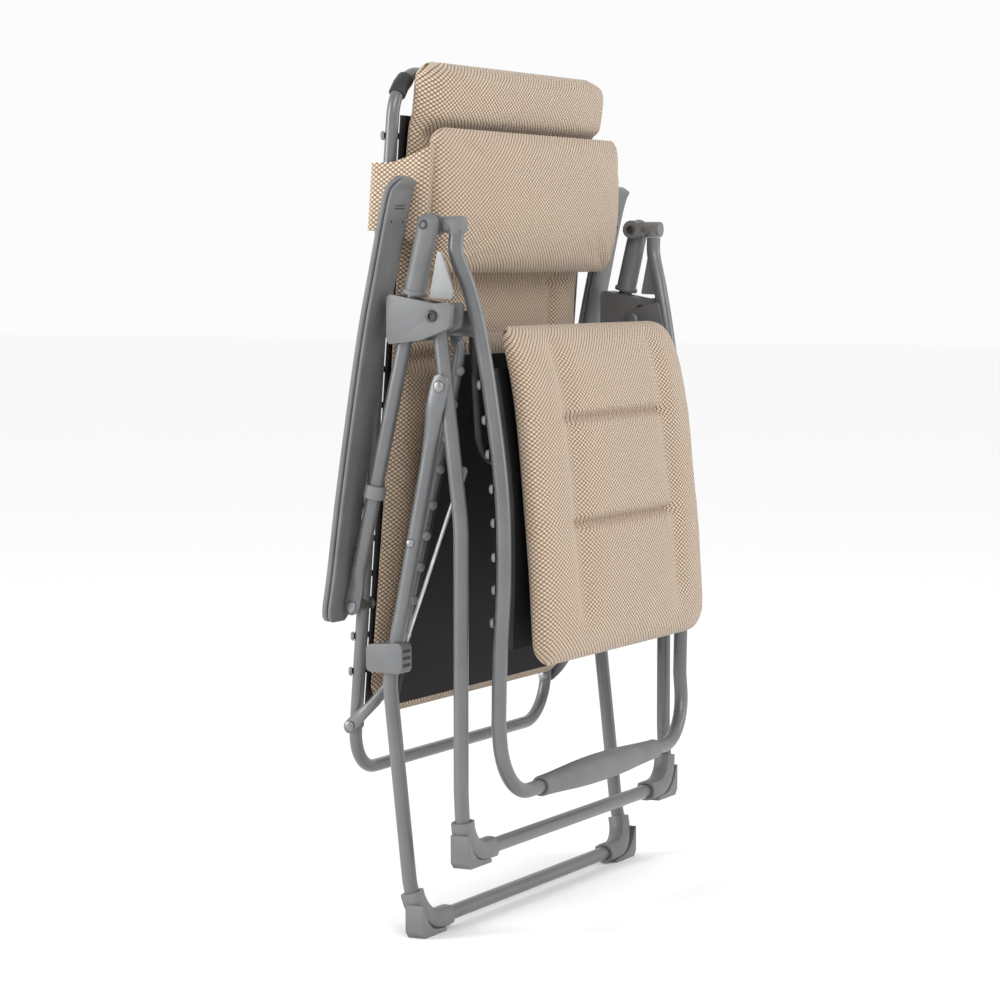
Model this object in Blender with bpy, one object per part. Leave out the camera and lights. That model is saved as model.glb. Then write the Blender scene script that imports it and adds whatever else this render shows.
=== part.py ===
"""A folding zero gravity recliner, standing folded on its rear leg.

Metres, +Z up, front at -Y, left at -X. The chair is a four-bar seat unit (arms, back frame, seat frame and
leg-rest frame) hung by its arm tubes in two brackets on top of a pair of folding leg frames.
Side-view points are (y, z) pairs measured from the rear foot, and place() moves them to the part's origin,
which is under the middle of its width and depth.
"""

import math

import bmesh
import bpy
from mathutils import Vector

for leftover in list(bpy.data.objects):
    bpy.data.objects.remove(leftover, do_unlink=True)

# Driving dimensions
FOOT_TO_CENTRE = 0.0159
GAP = 0.0004
TUBE = 0.0100
THIN_TUBE = 0.0088
SEAT_TUBE = 0.0075
LEG_X = 0.330
ARM_X = 0.335
ARMREST_X = 0.3385
BACK_X = 0.293
SEAT_X = 0.2835
SEAT_END_X = 0.308
LEGREST_X = 0.299
LEGREST_TOP_X = 0.317
ROD_X = 0.313
PAD_HALF = 0.262
PILLOW_HALF = 0.284

# Side view: the joints
LEG_PIVOT = (-0.0345, 0.736)
BRACKET_BOLT = (-0.0275, 0.828)
ELBOW_PIVOT = (-0.0130, 0.947)
BACK_PIVOT = (0.1030, 0.439)
SEAT_PIVOT = (0.1210, 0.274)
KNEE_PIVOT = (-0.0250, 0.814)
ROD_PIVOT = (-0.0530, 0.624)
BLOCK_CENTRE = (0.0421, 0.374)
STOP_RIVET = (0.0120, 0.528)
LEVER_PIVOT = (-0.0460, 0.8540)

# Side view: the frames, from the top down
REAR_LEG = ((-0.0210, 0.690), (0.0485, 0.342), (0.0190, 0.074), (0.0050, 0.0168))
FRONT_LEG = ((-0.0265, 0.842), (-0.0290, 0.800), (-0.0585, 0.555), (-0.0585, 0.200), (-0.0630, 0.1158))
LEGREST = ((-0.0600, 0.862), (-0.0745, 0.796), (-0.0910, 0.691), (-0.1035, 0.587),
           (-0.1058, 0.480), (-0.1005, 0.380), (-0.0985, 0.290))
LEGREST_BAR = (-0.1060, 0.191)
BACK_TOP = (0.0580, 1.150)
BACK_BOTTOM = (0.1255, 0.2095)
SEAT_FRONT = (-0.0310, 0.770)
SEAT_REAR = (0.0640, 0.352)
ARMREST_BACK = ((0.0230, 1.011), (0.0370, 0.985), (0.0590, 0.885), (0.0790, 0.785),
                (0.1080, 0.600), (0.1240, 0.480), (0.1340, 0.421))

SIDES = ((-1, "left"), (1, "right"))
PLATE = 0.0030
RIVET = 0.0040
HEAD = 0.0075
HEAD_DEPTH = 0.0030
FOOT_HALF = 0.0168
FOOT_BEND = 0.045
SLING = 0.0012


# Joint empties and materials

def joint_empty(name, point, parent=None):
    """An empty on a joint's axis, which every piece of that moving body hangs from."""
    empty = bpy.data.objects.new(name, None)
    bpy.context.scene.collection.objects.link(empty)
    where = place(0.0, *point)
    if parent:
        empty.parent = parent
        where = where - world_of(parent)
    empty.location = where
    return empty


def place(x, y, z):
    return Vector((x, y + FOOT_TO_CENTRE, z))


def world_of(thing):
    total = Vector((0.0, 0.0, 0.0))
    while thing:
        total = total + thing.location
        thing = thing.parent
    return total


def material(name, colour, roughness, metallic=0.0):
    made = bpy.data.materials.new(name)
    made.use_nodes = True
    shader = made.node_tree.nodes["Principled BSDF"]
    shader.inputs["Base Color"].default_value = (*colour, 1.0)
    shader.inputs["Roughness"].default_value = roughness
    shader.inputs["Metallic"].default_value = metallic
    return made


STEEL = material("painted_steel", (0.17, 0.175, 0.18), 0.42, 0.35)
PLASTIC = material("grey_plastic", (0.16, 0.165, 0.17), 0.5)
BLACK = material("black_mesh", (0.02, 0.02, 0.022), 0.7)
FABRIC = material("sand_fabric", (0.62, 0.5, 0.36), 0.85)
ZINC = material("zinc", (0.45, 0.45, 0.46), 0.35, 0.9)


# Paths and solids

def smooth_path(points, steps=5):
    """A Catmull-Rom curve through the points."""
    ends = [points[0] * 2 - points[1], *points, points[-1] * 2 - points[-2]]
    path = []
    for a, b, c, d in zip(ends, ends[1:], ends[2:], ends[3:]):
        for step in range(steps):
            t = step / steps
            path.append(0.5 * (2 * b + (c - a) * t + (2 * a - 5 * b + 4 * c - d) * t * t
                               + (3 * b - a - 3 * c + d) * t ** 3))
    return path + [points[-1]]


def round_corner(before, corner, after, radius, steps=6):
    """The arc of this radius that joins two straight runs at a corner."""
    into = (before - corner).normalized()
    out = (after - corner).normalized()
    half = into.angle(out) / 2
    reach = radius / math.tan(half)
    centre = corner + (into + out).normalized() * (radius / math.sin(half))
    start = corner + into * reach - centre
    end = corner + out * reach - centre
    turn = start.angle(end)
    return [centre + (start * math.sin(turn * (1 - i / steps)) + end * math.sin(turn * i / steps))
            / math.sin(turn) for i in range(steps + 1)]


def bent(points, radii, closed=False):
    """A run of straight tubes with a bend of its own radius at each corner."""
    count = len(points)
    corners = range(count) if closed else range(1, count - 1)
    path = [] if closed else [points[0]]
    for index, radius in zip(corners, radii):
        steps = 6 if radius < 0.1 else 3
        path += round_corner(points[index - 1], points[index], points[(index + 1) % count], radius, steps)
    return path if closed else path + [points[-1]]


def frames_along(path, closed=False):
    """At each point: the point and two directions across the path, carried along without twist."""
    count = len(path)
    tangents = []
    for i in range(count):
        back = path[i - 1] if closed or i else path[0]
        ahead = path[(i + 1) % count] if closed or i < count - 1 else path[-1]
        tangents.append((ahead - back).normalized())
    across = Vector((1.0, 0.0, 0.0))
    across = (across - tangents[0] * across.dot(tangents[0]))
    if across.length < 0.3:
        across = Vector((0.0, 0.0, 1.0)) - tangents[0] * tangents[0].z
    across.normalize()
    found = []
    for i, tangent in enumerate(tangents):
        if i:
            across = across.copy()
            across.rotate(tangents[i - 1].rotation_difference(tangent))
        found.append((path[i], across, tangent.cross(across).normalized()))
    return found


def ring(frame, first, second, sides, flat=2.0):
    """A closed outline across a path: round at flat 2, squarer above it."""
    centre, across, other = frame
    points = []
    for i in range(sides):
        angle = 2 * math.pi * (i + 0.5) / sides
        c, s = math.cos(angle), math.sin(angle)
        size = (abs(c) ** flat + abs(s) ** flat) ** (-1 / flat)
        points.append(centre + across * (c * size * first) + other * (s * size * second))
    return points


def loft(rings, closed=False):
    """One skin over a row of outlines, capped at both ends unless the row closes on itself."""
    shape = bmesh.new()
    loops = [[shape.verts.new(p) for p in outline] for outline in rings]
    pairs = list(zip(loops, loops[1:])) + ([(loops[-1], loops[0])] if closed else [])
    for first, second in pairs:
        for i in range(len(first)):
            j = (i + 1) % len(first)
            shape.faces.new((first[i], first[j], second[j], second[i]))
    if not closed:
        shape.faces.new(loops[0])
        shape.faces.new(loops[-1])
    return shape


def tube(path, radius, sides=10, closed=False):
    return loft([ring(f, radius, radius, sides) for f in frames_along(path, closed)], closed)


def rod(start, end, radius, sides=10):
    return tube([start, end], radius, sides)


def pipe(start, end, outer, inner, sides=14):
    """A straight sleeve that is open at both ends."""
    low, high = frames_along([start, end])
    return loft([ring(low, outer, outer, sides), ring(high, outer, outer, sides),
                 ring(high, inner, inner, sides), ring(low, inner, inner, sides)], True)


def plate(outline, x_from, x_to):
    """A side-view outline given thickness along X."""
    return loft([[place(x, y, z) for y, z in outline] for x in (x_from, x_to)])


def stadium(start, end, radius, steps=6):
    """The outline of a link with round ends."""
    way = math.atan2(end[1] - start[1], end[0] - start[0])
    outline = []
    for centre, turn in ((end, -math.pi / 2), (start, math.pi / 2)):
        for i in range(steps + 1):
            angle = way + turn + math.pi * i / steps
            outline.append((centre[0] + radius * math.cos(angle), centre[1] + radius * math.sin(angle)))
    return outline


def rounded(outline, radius, steps=3):
    """A flat outline with its corners rounded."""
    points = [Vector((y, z, 0.0)) for y, z in outline]
    count = len(points)
    turned = []
    for i in range(count):
        turned += round_corner(points[i - 1], points[i], points[(i + 1) % count], radius, steps)
    return [(p.x, p.y) for p in turned]


def add(name, shape, body, look, smooth=True):
    """An object for this shape, hung from the empty of its moving body."""
    origin = world_of(body) if body else Vector((0.0, 0.0, 0.0))
    bmesh.ops.translate(shape, verts=shape.verts, vec=-origin)
    bmesh.ops.recalc_face_normals(shape, faces=shape.faces)
    mesh = bpy.data.meshes.new(name)
    shape.to_mesh(mesh)
    shape.free()
    if smooth:
        mesh.shade_smooth()
        mesh.set_sharp_from_angle(angle=math.radians(35))
    mesh.materials.append(look)
    thing = bpy.data.objects.new(name, mesh)
    bpy.context.scene.collection.objects.link(thing)
    thing.parent = body
    return thing


def combine(thing, shape, operation):
    """A Boolean on the object with a hidden helper solid."""
    helper = add("cutter_" + thing.name, shape, None, PLASTIC)
    helper.hide_render = True
    helper.display_type = "WIRE"
    change = thing.modifiers.new(operation.lower(), "BOOLEAN")
    change.operation = operation
    change.solver = "EXACT"
    change.object = helper
    return thing


def drill(thing, side, x_from, x_to, point, radius=RIVET + GAP):
    """A hole along X through the object."""
    return combine(thing, rod(place(side * x_from, *point), place(side * x_to, *point), radius), "DIFFERENCE")


def rivet(side, x_in, x_out, point, shoulder=(), shaft=RIVET, head=HEAD, depth=HEAD_DEPTH):
    """A shaft along X with a domed head past each end, and a thick shoulder between two X where one is asked."""
    stations = [(x_in - depth, head * 0.62), (x_in - depth * 0.45, head), (x_in - GAP, head), (x_in - GAP, shaft)]
    if shoulder:
        thick = shaft + 0.0025
        stations += [(shoulder[0], shaft), (shoulder[0], thick), (shoulder[1], thick), (shoulder[1], shaft)]
    stations += [(x_out + GAP, shaft), (x_out + GAP, head), (x_out + depth * 0.45, head),
                 (x_out + depth, head * 0.62)]
    rings = []
    for x, radius in stations:
        centre = place(side * x, *point)
        rings.append(ring((centre, Vector((0.0, 1.0, 0.0)), Vector((0.0, 0.0, 1.0))), radius, radius, 10))
    return loft(rings)


def unit(start, end):
    return Vector((0.0, end[0] - start[0], end[1] - start[1])).normalized()


def between(start, end, share):
    return (start[0] + (end[0] - start[0]) * share, start[1] + (end[1] - start[1]) * share)


# Moving bodies

front_leg = joint_empty("front_leg_axis", LEG_PIVOT)
brace = joint_empty("brace_rod_axis", ROD_PIVOT, front_leg)
blocks = joint_empty("slide_block_axis", BLOCK_CENTRE)
bracket = joint_empty("bracket_axis", BRACKET_BOLT, front_leg)
lever_left = joint_empty("lock_lever_axis_left", LEVER_PIVOT, bracket)
lever_right = joint_empty("lock_lever_axis_right", LEVER_PIVOT, bracket)
arms = joint_empty("arm_slide_axis", between(ELBOW_PIVOT, BACK_PIVOT, 0.24), bracket)
back = joint_empty("back_axis", BACK_PIVOT, arms)
headrest = joint_empty("headrest_slide_axis", (0.020, 0.975), back)
seat = joint_empty("seat_axis", SEAT_PIVOT, back)
legrest = joint_empty("legrest_axis", ELBOW_PIVOT, arms)

ARM_WAY = unit(ELBOW_PIVOT, BACK_PIVOT)


def arm_point(side, along, x=ARM_X, behind=0.0):
    """A point on the arm tube's axis, this far down from the elbow, and moved behind it."""
    square = Vector((0.0, -ARM_WAY.z, ARM_WAY.y))
    return place(side * x, *ELBOW_PIVOT) + ARM_WAY * along + square * behind


# Legs

def leg_frame(name, points, x, radii, body, top=()):
    """A U of tube: both sides in side view, with a bar between the feet."""
    left = [place(-x, *p) for p in points]
    right = [place(x, *p) for p in reversed(points)]
    head_left = [place(-a, y, z) for a, y, z, _, _ in top]
    head_right = [place(a, y, z) for a, y, z, _, _ in reversed(top)]
    path = head_left + bent(left + right, radii) + head_right
    frames = frames_along(path)
    rings = []
    for i, frame in enumerate(frames):
        from_end = min(i, len(frames) - 1 - i)
        first, second = (top[from_end][3], top[from_end][4]) if from_end < len(top) else (TUBE, TUBE)
        rings.append(ring(frame, first, second, 8))
    return add(name, loft(rings), body, STEEL)


def foot_cap(name, side, points, x, body):
    """The plastic corner around the bend at a foot, with a flat sole."""
    side_run, corner = place(side * x, *points[-2]), place(side * x, *points[-1])
    inward = place(0.0, *points[-1])
    arc = round_corner(side_run, corner, inward, FOOT_BEND, 6)
    path = arc + [arc[-1] - Vector((side * 0.030, 0.0, 0.0))]
    frames = frames_along(path)
    outer = [ring(f, FOOT_HALF * 0.86, FOOT_HALF * 0.86, 12, 3.2) for f in frames]
    inner = [ring(f, TUBE + 0.0008, TUBE + 0.0008, 12) for f in frames]
    cap = add(name, loft(outer + inner[::-1], True), body, PLASTIC)
    sole = corner.z - FOOT_HALF
    heel = ((-0.0550, 0.0), (0.0060, 0.0), (0.0137, 0.0080), (0.0140, 0.0450), (0.0092, 0.0450), (0.0040, 0.0300),
            (-0.0045, 0.0190), (-0.0160, 0.0105), (-0.0300, 0.0070), (-0.0550, 0.0050))
    foot = loft([[Vector((side * (x + out), corner.y + half, sole + up)) for out, up in heel]
                 for half in (-0.0130, 0.0130)])
    combine(cap, foot, "UNION")
    return cap


REAR_TOP = ((0.3440, -0.0395, 0.7500, 0.0022, 0.0070), (0.3440, -0.0380, 0.7460, 0.0030, 0.0125),
            (0.3440, -0.0345, 0.7360, 0.0030, 0.0135), (0.3440, -0.0300, 0.7180, 0.0030, 0.0135),
            (0.3430, -0.0255, 0.7020, 0.0035, 0.0130), (0.3350, -0.0190, 0.6780, 0.0075, 0.0115),
            (0.3305, -0.0135, 0.6560, 0.0098, 0.0102))

rear_leg = leg_frame("rear_leg_tube", ((-0.0085, 0.628),) + REAR_LEG[1:], LEG_X, (0.10, 0.12, FOOT_BEND,
                     FOOT_BEND, 0.12, 0.10), None, REAR_TOP)
front_leg_tube = leg_frame("front_leg_tube", FRONT_LEG, LEG_X, (0.12, 0.35, 0.5, FOOT_BEND, FOOT_BEND, 0.5,
                           0.35, 0.12), front_leg)

for side, word in SIDES:
    foot_cap("rear_foot_cap_" + word, side, REAR_LEG, LEG_X, None)
    foot_cap("front_foot_cap_" + word, side, FRONT_LEG, LEG_X, front_leg)
    drill(rear_leg, side, LEG_X, 0.360, LEG_PIVOT)
    drill(front_leg_tube, side, 0.300, 0.360, LEG_PIVOT)
    drill(front_leg_tube, side, 0.300, 0.360, BRACKET_BOLT)
    drill(rear_leg, side, LEG_X + 0.002, 0.360, STOP_RIVET, 0.0025 + GAP)


def stud(side, x_base, x_tip, point, shaft, head, depth):
    """A pin set into a tube with one domed head."""
    stations = ((x_base, shaft), (x_tip, shaft), (x_tip, head), (x_tip + depth * 0.5, head),
                (x_tip + depth, head * 0.6))
    rings = []
    for x, radius in stations:
        centre = place(side * x, *point)
        rings.append(ring((centre, Vector((0.0, 1.0, 0.0)), Vector((0.0, 0.0, 1.0))), radius, radius, 10))
    return loft(rings)


for side, word in SIDES:
    add("leg_pivot_rivet_" + word, rivet(side, LEG_X - TUBE, 0.3470, LEG_PIVOT), None, ZINC)
    add("stop_rivet_" + word, stud(side, LEG_X + 0.003, LEG_X + TUBE + GAP, STOP_RIVET, 0.0025, 0.0060, 0.0035),
        None, ZINC)

# Brace rods and the blocks they push along the rear leg

ROD_FOOT = (BLOCK_CENTRE[0] - 0.0030, BLOCK_CENTRE[1] + 0.0020)
REAR_WAY = unit(REAR_LEG[0], REAR_LEG[1])


def slide_block(side):
    """A rounded block bored for the rear leg, longer behind the tube than in front."""
    y, z = BLOCK_CENTRE
    outline = rounded([(y - 0.020, z - 0.021), (y + 0.034, z - 0.019), (y + 0.034, z + 0.017),
                       (y - 0.020, z + 0.021)], 0.007)
    return plate(outline, side * (LEG_X - 0.0125), side * (LEG_X + 0.0155))


for side, word in SIDES:
    strap = plate(stadium(ROD_PIVOT, between(ROD_PIVOT, ROD_FOOT, 0.08), 0.0055), side * (ROD_X - 0.0025),
                  side * (ROD_X + 0.0025))
    brace_rod = add("brace_rod_" + word, strap, brace, ZINC)
    combine(brace_rod, rod(place(side * ROD_X, *between(ROD_PIVOT, ROD_FOOT, 0.05)),
                           place(side * ROD_X, *ROD_FOOT), 0.0026), "UNION")
    block = add("slide_block_" + word, slide_block(side), blocks, PLASTIC)
    low = place(side * LEG_X, *BLOCK_CENTRE) + REAR_WAY * 0.040
    high = place(side * LEG_X, *BLOCK_CENTRE) - REAR_WAY * 0.040
    combine(block, rod(low, high, TUBE + 0.0008, 16), "DIFFERENCE")


# Arms, brackets and lock levers

SLEEVE_END = 0.094
BORE = TUBE + 0.0006


def sleeve(side):
    """The thick plastic sleeve on the front of the arm tube, closed by a ball at the elbow."""
    square = Vector((0.0, -ARM_WAY.z, ARM_WAY.y))
    flat_way = Vector((1.0, 0.0, 0.0))

    def station(along, radius):
        return ring((arm_point(side, along), flat_way, square), radius, radius, 14)

    ball = [station(-0.0150 * math.cos(a), 0.0150 * math.sin(a)) for a in (0.35, 0.75, 1.15, math.pi / 2)]
    skin = ball + [station(0.014, 0.0140), station(SLEEVE_END - 0.007, 0.0145),
                   station(SLEEVE_END - 0.006, 0.0165), station(SLEEVE_END, 0.0165)]
    bore = [station(SLEEVE_END, BORE), station(0.006, BORE)]
    return loft(skin + bore)


def bracket_block(side):
    outline = rounded([(-0.0560, 0.846), (-0.0520, 0.812), (-0.0100, 0.796), (0.0400, 0.790),
                       (0.0400, 0.857), (-0.0300, 0.8440)], 0.006)
    return plate(outline, side * (ARM_X - 0.0220), side * (ARM_X + 0.0175))


def arm_tube(side):
    rings = []
    flat_way = Vector((1.0, 0.0, 0.0))
    square = Vector((0.0, -ARM_WAY.z, ARM_WAY.y))
    length = math.dist(ELBOW_PIVOT, BACK_PIVOT)
    for along, first, second in ((0.0065, TUBE, TUBE), (length - 0.050, TUBE, TUBE),
                                 (length - 0.028, 0.0040, 0.0110), (length, 0.0030, 0.0115),
                                 (length + 0.008, 0.0030, 0.0085), (length + 0.0115, 0.0025, 0.0030)):
        rings.append(ring((arm_point(side, along), flat_way, square), first, second, 14))
    return loft(rings)


def armrest_half(side, near, far, half_width):
    """A half of the armrest: a strip between two depths below its back face."""
    path = smooth_path([place(side * ARMREST_X, *p) for p in ARMREST_BACK], 3)
    rings = []
    last = len(path) - 1
    for i, (centre, _, _) in enumerate(frames_along(path)):
        ahead = path[min(i + 1, last)] - path[max(i - 1, 0)]
        forward = Vector((0.0, ahead.z, -ahead.y)).normalized()
        end = min(i, last - i)
        width = half_width * (0.62, 0.86, 0.97)[end] if end < 3 else half_width
        outline = []
        for across, deep in ((-1.0, far), (-1.0, near + 0.004), (-0.82, near), (0.82, near),
                             (1.0, near + 0.004), (1.0, far)):
            outline.append(centre + Vector((width * across, 0.0, 0.0)) + forward * deep)
        rings.append(outline)
    return loft(rings)


def clip(side):
    """The strap that holds the armrest to the arm tube near its rear end."""
    along = 0.3620
    low, high = arm_point(side, along - 0.009), arm_point(side, along + 0.009)
    return pipe(low, high, 0.0145, BORE, 14)


for side, word in SIDES:
    add("arm_sleeve_" + word, sleeve(side), arms, PLASTIC)
    arm = add("arm_tube_" + word, arm_tube(side), arms, STEEL)
    drill(arm, side, 0.320, 0.350, BACK_PIVOT)
    add("armrest_top_" + word, armrest_half(side, 0.0, 0.0075, 0.031), arms, PLASTIC)
    add("armrest_base_" + word, armrest_half(side, 0.0079, 0.0135, 0.0285), arms, PLASTIC)
    add("arm_clip_" + word, clip(side), arms, PLASTIC)
    housing = add("arm_bracket_" + word, bracket_block(side), bracket, PLASTIC)
    combine(housing, rod(arm_point(side, 0.060), arm_point(side, 0.190), 0.0135, 16), "DIFFERENCE")
    slot = plate([(-0.0700, 0.780), (-0.0100, 0.780), (-0.0100, 0.870), (-0.0700, 0.870)],
                 side * (LEG_X - 0.0108), side * (LEG_X + 0.0108))
    combine(housing, slot, "DIFFERENCE")
    drill(housing, side, 0.300, 0.360, BRACKET_BOLT)
    add("clamp_insert_" + word, pipe(arm_point(side, 0.1035), arm_point(side, 0.1480), 0.0130, BORE, 16),
        bracket, BLACK)
    fin = rounded([(-0.0170, 0.8510), (-0.0500, 0.8500), (-0.0515, 0.8600), (-0.0340, 0.9120),
                   (-0.0290, 0.9120)], 0.0020)
    lever = add("lock_lever_" + word, plate(fin, side * 0.3350, side * 0.3395),
                lever_left if side < 0 else lever_right, PLASTIC)

    add("bracket_bolt_" + word, rivet(side, ARM_X - 0.0220, ARM_X + 0.0175, BRACKET_BOLT), bracket, ZINC)

# Back frame, sling, pads and headrest

BACK_WAY = unit(BACK_TOP, BACK_BOTTOM)
back_frame = add("back_frame_tube", tube(bent([place(-BACK_X, *BACK_BOTTOM), place(BACK_X, *BACK_BOTTOM),
                                               place(BACK_X, *BACK_TOP), place(-BACK_X, *BACK_TOP)],
                                              (0.060, 0.060, 0.060, 0.060), True), THIN_TUBE, 8, True),
                 back, STEEL)
for side, word in SIDES:
    drill(back_frame, side, 0.270, 0.320, BACK_PIVOT)
    drill(back_frame, side, 0.270, 0.320, SEAT_PIVOT)


for side, word in SIDES:
    gap_between = (BACK_X + THIN_TUBE + GAP, ARM_X - 0.0045)
    add("back_pivot_rivet_" + word, rivet(side, BACK_X - THIN_TUBE, ARM_X + 0.0030, BACK_PIVOT, gap_between),
        back, ZINC)


def slab(path, half_width, depths, flat=4.0, sides=16):
    """A soft solid along a side-view path: (front, back) depth and share of the width at each point."""
    points = [Vector((0.0, p.y, p.z)) for p in (place(0.0, *q) for q in path)]
    rings = []
    last = len(points) - 1
    for i, centre in enumerate(points):
        ahead = points[min(i + 1, last)] - points[max(i - 1, 0)]
        forward = Vector((0.0, ahead.z, -ahead.y)).normalized()
        front, rear, share = depths[i]
        middle = centre + forward * ((front - rear) / 2)
        rings.append(ring((middle, Vector((1.0, 0.0, 0.0)), forward), half_width * share,
                          (front + rear) / 2, sides, flat))
    return loft(rings)


def along(start, end, shares):
    return [between(start, end, s) for s in shares]


def thin_sheet(path, half_width, thickness=SLING):
    points = [place(0.0, *q) for q in path]
    rings = []
    last = len(points) - 1
    for i, centre in enumerate(points):
        ahead = points[min(i + 1, last)] - points[max(i - 1, 0)]
        forward = Vector((0.0, ahead.z, -ahead.y)).normalized() * thickness
        wide = Vector((half_width, 0.0, 0.0))
        rings.append([centre - wide - forward, centre + wide - forward, centre + wide + forward,
                      centre - wide + forward])
    return loft(rings)


BACK_LINE = along(BACK_TOP, BACK_BOTTOM, (0.06, 0.30, 0.60, 0.905))
add("back_sling", thin_sheet([(y - 0.001, z) for y, z in BACK_LINE], 0.272), back, BLACK)
BACK_PAD_PATH = along(BACK_TOP, BACK_BOTTOM, (-0.018, 0.0, 0.055, 0.085, 0.20, 0.30, 0.38, 0.50, 0.62, 0.74, 0.84,
                                              0.90))
BACK_PAD = ((0.046, -0.011, 0.93), (0.064, -0.011, 1.0), (0.064, -0.009, 1.0), (0.046, -0.007, 1.0),
            (0.048, -0.004, 1.0),
            (0.034, -0.004, 1.0), (0.036, -0.004, 1.0), (0.043, -0.004, 1.0), (0.040, -0.004, 1.0),
            (0.032, -0.004, 1.0), (0.023, -0.004, 1.0), (0.014, -0.004, 0.95))
add("back_pad", slab(BACK_PAD_PATH, PAD_HALF, BACK_PAD), back, FABRIC)

for side, word in SIDES:
    corner = bent([place(side * BACK_X, *between(BACK_TOP, BACK_BOTTOM, 0.10)), place(side * BACK_X, *BACK_TOP),
                   place(0.0, *BACK_TOP)], (0.060,))
    piece = [ring(f, THIN_TUBE + 0.0030, THIN_TUBE + 0.0030, 12) for f in frames_along(corner[3:6])]
    bore = [ring(f, THIN_TUBE + GAP, THIN_TUBE + GAP, 12) for f in frames_along(corner[3:6])]
    add("top_corner_cap_" + word, loft(piece + bore[::-1], True), back, BLACK)

PILLOW_PATH = along((-0.0065, 1.076), (0.0095, 0.884), (0.0, 0.08, 0.25, 0.45, 0.65, 0.85, 0.94, 1.0))
PILLOW = ((0.010, 0.0060, 0.95), (0.017, 0.012, 1.0), (0.024, 0.0130, 1.0), (0.030, 0.0140, 0.995),
          (0.032, 0.0150, 0.985), (0.027, 0.0160, 0.97), (0.020, 0.014, 0.96), (0.009, 0.007, 0.92))


def pillow_ear(side):
    """The side of the headrest cover, hooked around the back frame tube."""
    y_front, y_back = 0.0000, 0.0960
    outline = rounded([(0.2480, y_front), (0.3060, y_front), (0.3060, y_back), (0.2700, y_back),
                       (0.2700, y_back - 0.0045), (0.3026, y_back - 0.0045), (0.3026, y_front + 0.0045),
                       (0.2480, y_front + 0.0045)], 0.0012, 2)
    rings = []
    for z, shift in ((0.940, 0.0045), (1.030, -0.0020)):
        rings.append([place(side * x, y + shift, z) for x, y in outline])
    return loft(rings)


pillow = add("headrest_pillow", slab(PILLOW_PATH, PILLOW_HALF, PILLOW), headrest, FABRIC)
for side, word in SIDES:
    combine(pillow, pillow_ear(side), "UNION")

# Seat frame, sling and pad

for side, word in SIDES:
    line = smooth_path([place(side * x, y, z) for x, y, z in (
        (SEAT_X, KNEE_PIVOT[0] + 0.0015, KNEE_PIVOT[1] + 0.0080), (SEAT_X, *KNEE_PIVOT), (SEAT_X, -0.0290, 0.7900),
        (SEAT_X, *SEAT_FRONT), (SEAT_X, 0.0130, 0.580), (SEAT_X, 0.0415, 0.4560), (0.2870, *SEAT_REAR),
        (0.2990, 0.0830, 0.3140), (SEAT_END_X, 0.1010, 0.2930), (SEAT_END_X, *SEAT_PIVOT),
        (SEAT_END_X, 0.1280, 0.2670))], 2)
    last = len(line) - 1
    shaped = []
    for i, frame in enumerate(frames_along(line)):
        from_end = min(i, last - i)
        across, deep = ((0.0025, 0.0050), (0.0028, 0.0085), (0.0030, 0.0100), (0.0034, 0.0098), (0.0055, 0.0085)
                        )[from_end] if from_end < 5 else (SEAT_TUBE, SEAT_TUBE)
        shaped.append(ring(frame, across, deep, 10))
    seat_tube = add("seat_tube_" + word, loft(shaped), seat, STEEL)
    drill(seat_tube, side, 0.2950, 0.3200, SEAT_PIVOT)
    add("seat_pivot_rivet_" + word, rivet(side, BACK_X - THIN_TUBE, SEAT_END_X + 0.0042, SEAT_PIVOT), seat, ZINC)

SEAT_LINE = ((-0.0290, 0.775), (-0.0105, 0.690), (0.0135, 0.580), (0.0415, 0.456), (0.0640, 0.352),
             (0.0760, 0.300))
add("seat_sling", thin_sheet([(y + 0.001, z) for y, z in SEAT_LINE], 0.270), seat, BLACK)
SEAT_PAD_PATH = ((-0.0330, 0.800), (-0.0310, 0.786), (-0.0200, 0.735), (-0.0040, 0.660), (0.0135, 0.580),
                 (0.0415, 0.456), (0.0640, 0.352), (0.0760, 0.300), (0.0800, 0.287))
SEAT_PAD = ((-0.0040, 0.0200, 0.95), (-0.0040, 0.0340, 1.0), (-0.0040, 0.0400, 1.0), (-0.0040, 0.0400, 1.0),
            (-0.0040, 0.0380, 1.0), (-0.0040, 0.0290, 1.0), (-0.0040, 0.0210, 1.0), (-0.0040, 0.0160, 1.0),
            (-0.0030, 0.0110, 0.95))
add("seat_pad", slab(SEAT_PAD_PATH, PAD_HALF, SEAT_PAD), seat, FABRIC)

# Leg-rest frame, elbows, knee plates, brace, sling, pad and grip

side_run = smooth_path([place(-x, y, z) for x, y, z in (
    (LEGREST_TOP_X, -0.0455, 0.9350), (LEGREST_TOP_X, -0.0460, 0.9080), (0.3080, *LEGREST[0]),
    (0.3020, *LEGREST[1]), *[(LEGREST_X, y, z) for y, z in LEGREST[2:]])], 3)
bar = place(-LEGREST_X, *LEGREST_BAR)
corner = round_corner(side_run[-1], bar, place(0.0, *LEGREST_BAR), 0.075, 7)
half = side_run + corner
other = [Vector((-p.x, p.y, p.z)) for p in reversed(half)]
legrest_frame = add("legrest_frame_tube", tube(half + other, TUBE, 8), legrest, STEEL)

GRIP = ((-0.190, 0.0135), (-0.186, 0.0142), (-0.150, 0.0150), (-0.080, 0.0185), (0.0, 0.0200), (0.080, 0.0185),
        (0.150, 0.0150), (0.186, 0.0142), (0.190, 0.0135))


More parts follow.
